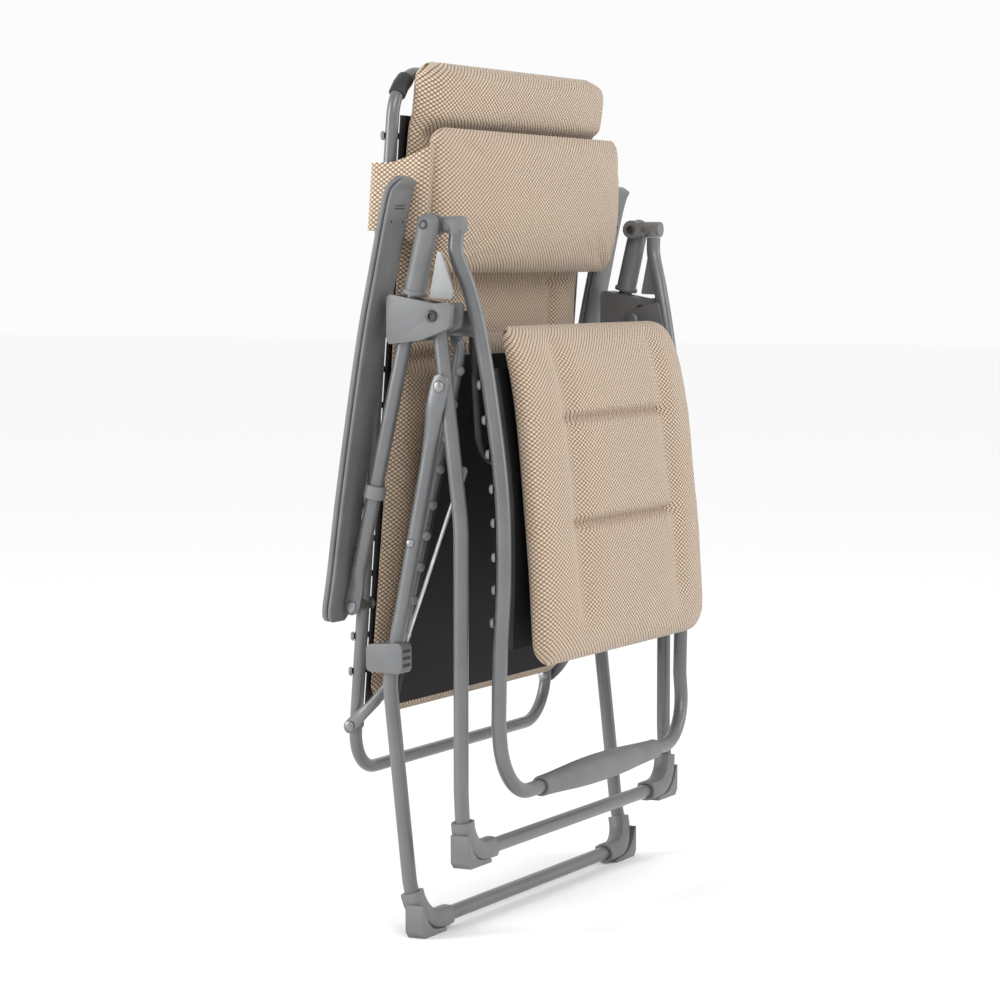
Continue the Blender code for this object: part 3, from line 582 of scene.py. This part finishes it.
# Slots and small holes on the underside: length and width of each.
SLOT = (0.026, 0.0010)
SLOT_GAP = 0.0040
HOLE = (0.0035, 0.0018)
HOLE_OFFSET = 0.016
HOLE_DROP = 0.022

BALL_RADIUS = 0.0150
BALL_ANGLES = (0.12, 0.35, 0.6, 0.85, 1.1, 1.35, math.pi / 2)
SLEEVE = ((0.006, 0.0147), (0.014, 0.0141), (0.040, 0.0143), (0.0865, 0.0145), (0.0875, 0.0149),
          (0.0882, 0.0165), (0.0892, 0.0169), (0.0930, 0.0169), (0.0940, 0.0163), (0.0940, 0.0106),
          (0.0060, 0.0106))
STRAP = ((-0.0090, 0.0106), (-0.0090, 0.0138), (-0.0083, 0.0145), (0.0083, 0.0145), (0.0090, 0.0138),
         (0.0090, 0.0106))
STRAP_AT = 0.3620

BLOCK_FACE = 0.0201
RIB_GAP = 0.0095
RIB = (0.020, 0.0042)

# The foot grip's outline from its middle to its end: (distance, radius).
GRIP = ((0.0400, 0.0196), (0.0800, 0.0184), (0.1200, 0.0164), (0.1600, 0.0147), (0.1870, 0.0141),
        (0.1893, 0.0136), (0.1900, 0.0128), (0.1900, 0.0105))


def armrest(name, side, near, far, half_width, node):
    """Half of an armrest, with rounded ends and edges."""
    path = smooth_path([place(side * ARMREST_X, *p) for p in ARMREST_BACK], 10)
    reach = [0.0]
    for a, b in zip(path, path[1:]):
        reach.append(reach[-1] + (b - a).length)
    last = len(path) - 1
    rings = []
    for k, centre in enumerate(path):
        ahead = (path[min(k + 1, last)] - path[max(k - 1, 0)]).normalized()
        forward = Vector((0.0, ahead.z, -ahead.y)).normalized()
        away = min(reach[k], reach[-1] - reach[k])
        blunt = min(away / half_width, 1.0)
        rounding = math.sqrt(max(1.0 - (1.0 - blunt) ** 2, 0.0))
        width = half_width * (BLUNT_SHARE + (1.0 - BLUNT_SHARE) * rounding)
        middle = centre + forward * ((near + far) / 2)
        rings.append(ring((middle, X_WAY, forward), width, (far - near) / 2, 48, 7.0))
    add(name, loft(rings), "arms", PLASTIC, [node], 50.0)


def groove(shape, centre, along, across, out, length, width):
    """A short dark groove, drawn as a thin strip let into the surface; the black material it is given where
    it is added is painted shade inside the groove.
    """
    corners = [centre + along * (a * length / 2) + across * (b * width / 2)
               for a, b in ((-1, -1), (1, -1), (1, 1), (-1, 1))]
    low = [shape.verts.new(p - out * 0.0004) for p in corners]
    high = [shape.verts.new(p + out * 0.00025) for p in corners]
    shape.faces.new(low[::-1])
    shape.faces.new(high)
    for i in range(4):
        j = (i + 1) % 4
        shape.faces.new((low[i], low[j], high[j], high[i]))


def armrest_slot_shade(side, word):
    """Two short slots and two small holes near the top of the armrest's underside, drawn as black strips:
    painted shade inside them.
    """
    slot_shade = bmesh.new()
    middle = between(ARMREST_BACK[1], ARMREST_BACK[2], 0.10)
    way = (place(0.0, *ARMREST_BACK[2]) - place(0.0, *ARMREST_BACK[1])).normalized()
    forward = Vector((0.0, way.z, -way.y))
    surface = forward * UNDERSIDE[1]
    for drop in (0.0, SLOT_GAP):
        groove(slot_shade, place(side * ARMREST_X, *middle) + way * drop + surface, X_WAY, way, forward, *SLOT)
    for offset in (-HOLE_OFFSET, HOLE_OFFSET):
        centre = place(side * ARMREST_X + offset, *middle) + way * HOLE_DROP + surface
        groove(slot_shade, centre, way, X_WAY, forward, *HOLE)
    # The black here is painted shade in the slots and holes.
    add("armrest_slot_shade_" + word, slot_shade, "arms", BLACK)


for side, word in SIDES:
    armrest("armrest_shell_" + word, side, *SHELL, "armrest_top_" + word)
    armrest("armrest_underside_" + word, side, *UNDERSIDE, "armrest_base_" + word)
    armrest_slot_shade(side, word)
    ball = [(-BALL_RADIUS * math.cos(a), BALL_RADIUS * math.sin(a)) for a in BALL_ANGLES]
    add("arm_grip_" + word, lathe(place(side * ARM_X, *ELBOW_PIVOT), ARM_WAY, (*ball, *SLEEVE), 36), "arms",
        PLASTIC, ["arm_sleeve_" + word])
    add("arm_strap_" + word, lathe(arm_point(side, STRAP_AT), ARM_WAY, STRAP, 32, True), "arms", PLASTIC,
        ["arm_clip_" + word])

for side, word in SIDES:
    fastener(side, word, *BALL_SCREW)
    # Three black strips on the slide block's end face: painted shade in the slots between its ribs.
    rib_slot_shade = bmesh.new()
    for k in (-1, 0, 1):
        centre = place(side * (LEG_X + 0.0015), BLOCK_CENTRE[0] - BLOCK_FACE, BLOCK_CENTRE[1] + RIB_GAP * k)
        groove(rib_slot_shade, centre, X_WAY, UP, Vector((0.0, -1.0, 0.0)), *RIB)
    add("slide_block_slots_" + word, rib_slot_shade, "slide_blocks", BLACK)

grip_outline = [(-far, radius) for far, radius in reversed(GRIP)] + [(0.0, 0.0200), *GRIP]
add("foot_roll", lathe(place(0.0, *LEGREST_BAR), X_WAY, grip_outline, 36, True), "legrest", PLASTIC,
    ["foot_grip"])


# Padded pieces

AROUND = 120
SQUARENESS = 3.0
END_ROWS = (0.0, 0.0006, 0.0020, 0.0042, 0.0075, 0.0115, 0.0160)
END_LENGTH = 0.0215
END_ROUND = 0.018
SEAM_FADE = 0.020
CHANNEL_FADE = 0.035
PUCKER_PITCH = 0.021
PUCKER_DEPTH = 0.0006


class Seam(NamedTuple):
    """A sewn line across a pad, this far along it and this far out from its middle."""
    at: float
    width: float
    depth: float
    reach: float


class Channel(NamedTuple):
    """A sewn line along a pad on each side, this far from its middle, from start to end."""
    at: float
    width: float
    depth: float
    start: float
    end: float


def dense(path, values, count):
    """Distances along the path, closer at its ends, with (y, z) and the three values at each."""
    points = smooth_path([Vector((0.0, *p)) for p in path], 16)
    rows = smooth_path([Vector(v) for v in values], 16)
    reach = np.concatenate([[0.0], np.cumsum([(b - a).length for a, b in zip(points, points[1:])])])
    total = reach[-1]
    ends = np.array(END_ROWS)
    far = np.concatenate([ends, np.linspace(END_LENGTH, total - END_LENGTH, count), total - ends[::-1]])
    flat = np.array([(p.y, p.z, r.x, r.y, r.z) for p, r in zip(points, rows)])
    return far, np.array([np.interp(far, reach, flat[:, k]) for k in range(5)]).T


def section():
    """An even outline of a pad's section, squarer at its rear, as (across, out) from its front."""
    angle = np.linspace(0.0, 2 * np.pi, 2881)
    s, c = np.sin(angle), np.cos(angle)
    power = SQUARENESS + 4.0 * np.clip(-c * 3.0, 0.0, 1.0)
    size = (np.abs(s) ** power + np.abs(c) ** power) ** (-1 / power)
    points = np.stack([s * size, c * size], 1)
    weights = np.linalg.norm(np.diff(points * np.array([1.0, 0.16]), axis=0), axis=1)
    reach = np.concatenate([[0.0], np.cumsum(weights)])
    even = np.linspace(0.0, reach[-1], AROUND, endpoint=False)
    return np.stack([np.interp(even, reach, points[:, 0]), np.interp(even, reach, points[:, 1])], 1)


def pulse(distance, width):
    return np.exp(-(distance / width) ** 2)


def rounded(share):
    """The height of a quarter circle this far across it."""
    return math.sqrt(1.0 - (1.0 - min(share, 1.0)) ** 2)


def sewing(x, far, seams, channels, waves):
    """How deep the stitches pull the cover in across one row, and how firmly they hold it."""
    press = np.zeros(len(x))
    held = np.zeros(len(x))
    for seam in seams:
        beyond = np.clip(np.abs(x) - seam.reach, 0.0, None)
        mark = pulse(far - seam.at, seam.width) * pulse(beyond, SEAM_FADE)
        press += seam.depth * mark
        held = np.maximum(held, mark)
        ripple = np.sin(x * 2 * np.pi / PUCKER_PITCH + 9.0 * seam.at)
        pucker = ripple * pulse(far - seam.at, seam.width * 2.2) * pulse(beyond, SEAM_FADE)
        press += PUCKER_DEPTH * waves * pucker
    for channel in channels:
        past = max(channel.start - far, far - channel.end, 0.0)
        mark = pulse(np.abs(x) - channel.at, channel.width) * math.exp(-(past / CHANNEL_FADE) ** 2)
        press += channel.depth * mark
        held = np.maximum(held, 0.8 * mark)
    return press, held


def wrinkles(x, far, seed):
    """Slow and fine unevenness of the filling across one row."""
    slow = np.array([noise.noise(Vector((a * 9.0, far * 11.0, seed))) for a in x])
    fine = np.array([noise.noise(Vector((a * 34.0, far * 46.0, 3.0 + seed))) for a in x])
    return 0.0022 * slow + 0.0006 * fine


def skin(name, verts):
    """A closed, smooth cover over rows of points."""
    count, around, _ = verts.shape
    faces = [(i * around + j, i * around + (j + 1) % around, (i + 1) * around + (j + 1) % around,
              (i + 1) * around + j) for i in range(count - 1) for j in range(around)]
    faces.append(tuple(range(around))[::-1])
    faces.append(tuple((count - 1) * around + j for j in range(around)))
    mesh = bpy.data.meshes.new(name)
    mesh.from_pydata(verts.reshape(-1, 3).tolist(), [], faces)
    shape = bmesh.new()
    shape.from_mesh(mesh)
    bmesh.ops.recalc_face_normals(shape, faces=shape.faces)
    shape.to_mesh(mesh)
    shape.free()
    mesh.shade_smooth()
    mesh.materials.append(COVER)
    piece = bpy.data.objects.new(name, mesh)
    show(piece)
    return piece


def pad(name, body, node, path, profile, seams=(), channels=(), corner=0.028, count=64, waves=1.0,
        flare=0.0, half=PAD_HALF, bow=0.0):
    """A crowned cushion along a side-view path, with seams and channels sewn into its front.

    profile holds (front depth, rear depth, share of the half width) at each point of the path. flare widens
    the rear, and bow draws the two ends of each row back.
    """
    far, rows = dense(path, profile, count)
    outline = section()
    facing = np.clip(outline[:, 1] * 1.6, 0.0, 1.0)
    verts = np.zeros((len(far), AROUND, 3))
    cloth = np.zeros((len(far), AROUND, 3))
    sewn = np.zeros((len(far), AROUND))
    faces_at = np.zeros((len(far), 2, 2))
    for i, (y, z, front, rear, share) in enumerate(rows):
        low, high = max(i - 1, 0), min(i + 1, len(far) - 1)
        ahead = np.array([0.0, rows[high, 0] - rows[low, 0], rows[high, 1] - rows[low, 1]])
        ahead /= np.linalg.norm(ahead)
        forward = np.array([0.0, ahead[2], -ahead[1]])
        away = min(far[i], far[-1] - far[i])
        thin = max(rounded(away / END_ROUND), 0.06)
        width = half * (1.0 - (1.0 - share) * 0.2) - corner * (1.0 - rounded(away / corner))
        deep = (front + rear) / 2 * thin
        middle = (front - rear) / 2
        x = outline[:, 0] * (width + flare * np.clip(0.2 - outline[:, 1], 0.0, 1.0))
        press, sewn[i] = sewing(x, far[i], seams, channels, waves)
        out = middle + outline[:, 1] * deep
        out = out - press * facing * thin + wrinkles(x, far[i], len(name)) * facing * thin * waves
        out = out - bow * (np.abs(x) / half) ** 2.5
        verts[i] = np.array([0.0, y + FOOT_TO_CENTRE, z]) + forward * out[:, None]
        verts[i, :, 0] = x
        rim = np.concatenate([[0.0], np.cumsum(np.hypot(np.diff(x), np.diff(out)))])
        loop = rim[-1] + math.hypot(x[0] - x[-1], out[0] - out[-1])
        cloth[i, :, 0] = np.minimum(rim, loop - rim)
        for k, reach in enumerate((middle + deep, middle - deep)):
            faces_at[i, k] = (y + forward[1] * reach, z + forward[2] * reach)
    run = np.zeros((len(far), 2))
    run[1:] = np.cumsum(np.linalg.norm(np.diff(faces_at, axis=0), axis=2), axis=0)
    run -= run[len(far) // 2]
    in_front = (1.0 + outline[:, 1]) / 2
    cloth[:, :, 1] = run[:, :1] * in_front + run[:, 1:] * (1.0 - in_front)
    piece = skin(name, verts)
    mark_cloth(piece, cloth)
    rear_side = np.repeat(np.clip(-outline[None, :, 1] * 2.5 + 0.2, 0.0, 1.0), len(far), axis=0)
    held = np.maximum(sewn, rear_side)
    held[:3] = held[-3:] = 1.0
    puff(piece, held.reshape(-1))
    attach(piece, body)
    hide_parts(node)


PRESSURE = 3.0
LONGEST_MOVE = 0.009
LAST_FRAME = 14


def puff(piece, held):
    """Blows the cover out between its seams with a short cloth simulation, and keeps the result."""
    mesh = piece.data
    count = len(mesh.vertices)
    before = np.zeros(count * 3)
    mesh.vertices.foreach_get("co", before)
    before = before.reshape(-1, 3)
    group = piece.vertex_groups.new(name="sewn")
    for i, weight in enumerate(held):
        if weight > 0.05:
            group.add([i], float(min(weight, 1.0)), "REPLACE")
    cloth = piece.modifiers.new("cloth", "CLOTH")
    settings = cloth.settings
    settings.quality = 5
    settings.mass = 0.35
    settings.tension_stiffness = 30.0
    settings.compression_stiffness = 12.0
    settings.shear_stiffness = 12.0
    settings.bending_stiffness = 0.6
    settings.use_pressure = True
    settings.uniform_pressure_force = PRESSURE
    settings.vertex_group_mass = "sewn"
    settings.pin_stiffness = 6.0
    settings.effector_weights.gravity = 0.0
    cloth.collision_settings.use_self_collision = False
    cloth.point_cache.frame_start = 1
    cloth.point_cache.frame_end = LAST_FRAME
    scene = bpy.context.scene
    for step in range(1, LAST_FRAME + 1):
        scene.frame_set(step)
    graph = bpy.context.evaluated_depsgraph_get()
    after = np.zeros(count * 3)
    piece.evaluated_get(graph).data.vertices.foreach_get("co", after)
    move = after.reshape(-1, 3) - before
    size = np.linalg.norm(move, axis=1)
    scale = np.where(size > LONGEST_MOVE, LONGEST_MOVE / np.maximum(size, 1e-9), 1.0)
    piece.modifiers.remove(cloth)
    piece.vertex_groups.clear()
    scene.frame_set(1)
    mesh.vertices.foreach_set("co", (before + move * scale[:, None]).reshape(-1))
    mesh.update()


def down_back(shares):
    """Points down the back frame's side in side view, as shares of its length."""
    return [between(BACK_TOP, BACK_BOTTOM, s) for s in shares]


BACK_PAD = ((0.046, -0.011, 0.93), (0.064, -0.011, 1.0), (0.064, -0.009, 1.0), (0.046, -0.007, 1.0),
            (0.048, -0.004, 1.0), (0.034, -0.004, 1.0), (0.036, -0.004, 1.0), (0.043, -0.004, 1.0),
            (0.040, -0.004, 1.0), (0.032, -0.004, 1.0), (0.023, -0.004, 1.0), (0.014, -0.004, 0.95))
pad("back_cushion", "back", "back_pad",
    down_back((-0.018, 0.0, 0.055, 0.085, 0.20, 0.30, 0.38, 0.50, 0.62, 0.74, 0.84, 0.90)), BACK_PAD,
    (Seam(0.098, 0.009, 0.010, 0.30), Seam(0.295, 0.008, 0.009, 0.19), Seam(0.400, 0.012, 0.020, 0.24),
     Seam(0.520, 0.010, 0.010, 0.17), Seam(0.645, 0.010, 0.007, 0.17)),
    (Channel(0.165, 0.015, 0.008, 0.31, 0.78),), count=150, flare=0.014)

SEAT_PAD_PATH = ((0.0800, 0.287), (0.0760, 0.300), (0.0640, 0.352), (0.0415, 0.456), (0.0135, 0.580),
                 (-0.0040, 0.660), (-0.0200, 0.735), (-0.0310, 0.786), (-0.0330, 0.800))
SEAT_PAD = ((0.0110, -0.0030, 0.95), (0.0160, -0.0040, 1.0), (0.0210, -0.0040, 1.0), (0.0290, -0.0040, 1.0),
            (0.0380, -0.0040, 1.0), (0.0400, -0.0040, 1.0), (0.0400, -0.0040, 1.0), (0.0340, -0.0040, 1.0),
            (0.0200, -0.0040, 0.95))
pad("seat_cushion", "seat", "seat_pad", SEAT_PAD_PATH, SEAT_PAD,
    (Seam(0.130, 0.010, 0.006, 0.17), Seam(0.250, 0.010, 0.009, 0.17), Seam(0.370, 0.010, 0.011, 0.17)),
    (Channel(0.170, 0.015, 0.008, 0.04, 0.46),), count=84)

LEGREST_PAD_PATH = ((-0.0720, 0.8120), (-0.0740, 0.8020), (-0.0840, 0.7580), (-0.0950, 0.6910),
                    (-0.1060, 0.5870), (-0.1140, 0.4800), (-0.1180, 0.4000), (-0.1230, 0.3680),
                    (-0.1240, 0.3600))
LEGREST_PAD = ((0.009, -0.003, 0.94), (0.024, -0.002, 0.99), (0.040, -0.002, 1.0), (0.044, -0.002, 1.0),
               (0.046, -0.001, 1.0), (0.048, -0.002, 1.0), (0.048, -0.003, 1.0), (0.038, -0.003, 0.99),
               (0.024, -0.006, 0.95))
pad("legrest_cushion", "legrest", "legrest_pad", LEGREST_PAD_PATH, LEGREST_PAD,
    (Seam(0.130, 0.0060, 0.0150, 0.140), Seam(0.271, 0.0060, 0.0160, 0.140)),
    (Channel(0.158, 0.020, 0.010, 0.06, 0.37),), corner=0.032, count=104)

PILLOW_TOP = (-0.0065, 1.076)
PILLOW_BOTTOM = (0.0095, 0.884)
PILLOW = ((0.010, 0.0060, 0.95), (0.017, 0.012, 1.0), (0.024, 0.0130, 1.0), (0.030, 0.0140, 0.995),
          (0.032, 0.0150, 0.985), (0.027, 0.0160, 0.97), (0.020, 0.014, 0.96), (0.009, 0.007, 0.92))
pad("headrest_cushion", "headrest", "headrest_pillow",
    [between(PILLOW_TOP, PILLOW_BOTTOM, s) for s in (0.0, 0.08, 0.25, 0.45, 0.65, 0.85, 0.94, 1.0)], PILLOW,
    corner=0.018, count=44, waves=1.3, half=PILLOW_HALF, bow=0.010)


# Fabric bands that hold the headrest round the back frame

BAND_PLAN = ((0.250, 0.0080), (0.3036, 0.0080), (0.3036, 0.0935), (0.262, 0.0935))
BAND_BEND = 0.012
BAND_SPACING = 0.006
BAND_STEPS = 14
BAND_THICK = 0.0030
BAND_LOW = 0.9400
BAND_HIGH = 1.0300
FLARE_LENGTH = 0.100
FLARE_DOWN = 0.048
FLARE_UP = 0.042


def band_line(side):
    """The band's middle line in plan, at even distances."""
    turned = bent([Vector((side * x, y, 0.0)) for x, y in BAND_PLAN], (BAND_BEND, BAND_BEND))
    fine = [turned[0]]
    for a, b in zip(turned, turned[1:]):
        pieces = max(1, round((b - a).length / BAND_SPACING))
        fine += [a + (b - a) * (k / pieces) for k in range(1, pieces + 1)]
    return fine


def headrest_band(side, word):
    """A standing band of cloth that widens where it meets the pillow."""
    line = [Vector((p.x, p.y)) for p in band_line(side)]
    shape = bmesh.new()
    reach = 0.0
    verts = []
    field = []
    for i, point in enumerate(line):
        if i:
            reach += (point - line[i - 1]).length
        before, after = line[max(i - 1, 0)], line[min(i + 1, len(line) - 1)]
        side_way = Vector((after.y - before.y, before.x - after.x)).normalized() * (BAND_THICK / 2)
        taper = max(0.0, 1.0 - reach / FLARE_LENGTH) ** 1.2
        bottom = BAND_LOW - FLARE_DOWN * taper
        top = BAND_HIGH + FLARE_UP * taper
        for sign in (-1, 1):
            for k in range(BAND_STEPS + 1):
                z = bottom + (top - bottom) * k / BAND_STEPS
                lean = 0.0045 - 0.0065 * (z - BAND_LOW) / (BAND_HIGH - BAND_LOW)
                x = point.x + side_way.x * sign
                y = point.y + side_way.y * sign + lean
                verts.append(shape.verts.new(place(x, y, z)))
                field.append((reach, z, 0.0))
    layer = BAND_STEPS + 1
    per = 2 * layer
    for a in range(0, (len(line) - 1) * per, per):
        for k in range(BAND_STEPS):
            for first in (a + k, a + layer + k):
                shape.faces.new([verts[n] for n in (first, first + per, first + per + 1, first + 1)])
        for first in (a, a + BAND_STEPS):
            shape.faces.new([verts[n] for n in (first, first + per, first + per + layer, first + layer)])
    for a in (0, (len(line) - 1) * per):
        for first in range(a, a + BAND_STEPS):
            shape.faces.new([verts[n] for n in (first, first + 1, first + layer + 1, first + layer)])
    piece = add("headrest_band_" + word, shape, "headrest", COVER)
    mark_cloth(piece, field)


for side, word in SIDES:
    headrest_band(side, word)


# Slings with hems, laces and hooks

SLING_COLUMNS = 96
LACE_STEP = 0.045
LACE_START = 0.02
LACE_ANGLES = (150, 130, 110, 92, 78)
HOOK_ANGLE = 64
HOOK_OUTLINE = ((-0.0010, 0.0062), (0.0012, 0.0062), (0.0026, 0.0054), (0.0036, 0.0036), (0.0040, 0.0008))


class Web(NamedTuple):
    """A sling: its side-view line, half width, the tubes it hangs between and the side its laces pass; the
    tube names in rests_on are not used.
    """
    name: str
    line: tuple
    half: float
    rests_on: list
    tube_line: tuple
    tube_x: float
    tube_radius: float
    behind: int


def sling(web):
    """A stretched sheet along a side-view line, scalloped a little between its laces."""
    points = smooth_path([place(0.0, *p) for p in web.line], 24)
    shape = bmesh.new()
    field = []
    reach = 0.0
    grid = []
    for i, centre in enumerate(points):
        if i:
            reach += (centre - points[i - 1]).length
        row = []
        for k in range(SLING_COLUMNS + 1):
            share = 2 * k / SLING_COLUMNS - 1
            scallop = 0.0022 * (1 - math.cos(2 * math.pi * reach / LACE_STEP)) * abs(share) ** 12
            x = share * (web.half - scallop)
            row.append(shape.verts.new(centre + Vector((x, 0.0, 0.0))))
            field.append((x, reach, 0.0))
        grid.append(row)
    for a, b in zip(grid, grid[1:]):
        for k in range(SLING_COLUMNS):
            shape.faces.new((a[k], a[k + 1], b[k + 1], b[k]))
    piece = add(web.name + "_web", shape, web.name, SLING, [web.name + "_sling"])
    mark_cloth(piece, field)


def flat_strip(shape, path, wide_way, width, thickness):
    """A flat elastic strip along a path."""
    rings = []
    for centre, across, other in frames_along(path):
        tangent = across.cross(other)
        wide = (wide_way - tangent * wide_way.dot(tangent)).normalized()
        rings.append(ring((centre, wide, tangent.cross(wide)), width / 2, thickness / 2, 12, 4.0))
    loft(rings, shape=shape)


def away_from_tube(side, web, degrees):
    """A direction across a tube: outward at 0 degrees, and to the side where the laces pass at 90."""
    turn = math.radians(degrees)
    return Vector((side * math.cos(turn), web.behind * math.sin(turn), 0.0))


def lacing(web):
    """Elastic loops from the sling's hem to the tube, each on a plastic hook, down both sides."""
    points = smooth_path([place(0.0, *p) for p in web.line], 24)
    reach = [0.0]
    for a, b in zip(points, points[1:]):
        reach.append(reach[-1] + (b - a).length)
    heights = [z for _, z in web.tube_line][::-1]
    depths = [y for y, _ in web.tube_line][::-1]
    out = web.tube_radius + 0.0011
    loops = bmesh.new()
    hooks = bmesh.new()
    hems = bmesh.new()
    for side, _ in SIDES:
        edge = [p + Vector((side * (web.half - 0.006), 0.0, 0.0)) for p in points]
        flat_strip(hems, edge, X_WAY, 0.014, 0.0034)
        for k in range(int((reach[-1] - LACE_START * 2) / LACE_STEP) + 1):
            i = min(int(np.searchsorted(reach, LACE_START + k * LACE_STEP)), len(points) - 1)
            here = points[i]
            way = (points[min(i + 1, len(points) - 1)] - points[max(i - 1, 0)]).normalized()
            centre = place(side * web.tube_x, float(np.interp(here.z, heights, depths)), here.z)
            start = Vector((side * (web.half - 0.004), here.y + web.behind * 0.0022, here.z))
            path = [start] + [centre + away_from_tube(side, web, angle) * out for angle in LACE_ANGLES]
            flat_strip(loops, path, way, 0.0085, 0.0018)
            normal = away_from_tube(side, web, HOOK_ANGLE)
            lathe(centre + normal * (out + 0.0009), normal, HOOK_OUTLINE, 20, shape=hooks)
    add(web.name + "_laces", loops, web.name, ELASTIC)
    add(web.name + "_hooks", hooks, web.name, HOOK)
    add(web.name + "_hems", hems, web.name, ELASTIC)


BACK_LINE = tuple((y - 0.001, z) for y, z in down_back((0.06, 0.30, 0.60, 0.905)))
SEAT_LINE = tuple((y + 0.001, z) for y, z in ((-0.0290, 0.775), (-0.0105, 0.690), (0.0135, 0.580),
                                              (0.0415, 0.456), (0.0640, 0.352), (0.0760, 0.300)))
LEGREST_LINE = ((-0.0800, 0.758), (-0.0910, 0.691), (-0.1035, 0.587), (-0.1058, 0.480), (-0.1020, 0.385))
WEBS = (
    Web("back", BACK_LINE, 0.272, ["back_frame"], (BACK_TOP, BACK_BOTTOM), BACK_X, THIN_TUBE, 1),
    Web("seat", SEAT_LINE, 0.270, ["seat_rail_left", "seat_rail_right"],
        tuple((y, z) for _, y, z in SEAT_POINTS[1:8]), SEAT_X, SEAT_TUBE, -1),
    Web("legrest", LEGREST_LINE, 0.280, ["legrest_frame"], (LEGREST_TOP[-1][1:], *LEGREST), LEGREST_X,
        TUBE, 1),
)

for web in WEBS:
    sling(web)
for web in WEBS:
    lacing(web)


# Floor, lights and camera

def area_light(name, where, size, power):
    """A soft rectangular light that faces the chair."""
    data = bpy.data.lights.new(name, "AREA")
    data.shape = "RECTANGLE"
    data.size, data.size_y = size
    data.energy = power
    lamp = bpy.data.objects.new(name, data)
    lamp.location = where
    lamp.rotation_euler = (LIT_POINT - Vector(where)).to_track_quat("-Z", "Y").to_euler()
    show(lamp)


LIT_POINT = Vector((0.0, 0.0, 0.6))

ground = bmesh.new()
bmesh.ops.create_grid(ground, x_segments=1, y_segments=1, size=30.0)
ground_mesh = bpy.data.meshes.new("floor")
ground.to_mesh(ground_mesh)
ground.free()
floor = bpy.data.objects.new("floor", ground_mesh)
show(floor)
ground_mesh.materials.append(Graph("pale_floor").shade(base=(0.97, 0.97, 0.97, 1.0), rough=1.0, specular=0.0))

world = bpy.data.worlds.new("studio")
bpy.context.scene.world = world
world.use_nodes = True
background = world.node_tree.nodes["Background"]
background.inputs["Color"].default_value = (1.0, 1.0, 1.0, 1.0)
background.inputs["Strength"].default_value = 0.97
area_light("key", (-3.2, -2.6, 3.0), (1.4, 1.4), 55.0)
area_light("side", (-2.4, 2.4, 1.6), (1.0, 2.0), 66.0)
area_light("front", (1.8, -3.2, 1.6), (1.2, 2.0), 26.0)

CAMERA_AZIMUTH = -63.256
CAMERA_ELEVATION = 4.20
lens = bpy.data.cameras.new("camera")
lens.lens = 115.2
lens.sensor_width = 36.0
lens.clip_end = 100.0
camera = bpy.data.objects.new("camera", lens)
camera.location = (-4.0444, -1.9877 + FOOT_TO_CENTRE, 0.8943)
camera.rotation_euler = (math.radians(90.0 - CAMERA_ELEVATION), 0.0, math.radians(CAMERA_AZIMUTH))
show(camera)
bpy.context.scene.camera = camera
bpy.context.scene.view_settings.view_transform = "Standard"
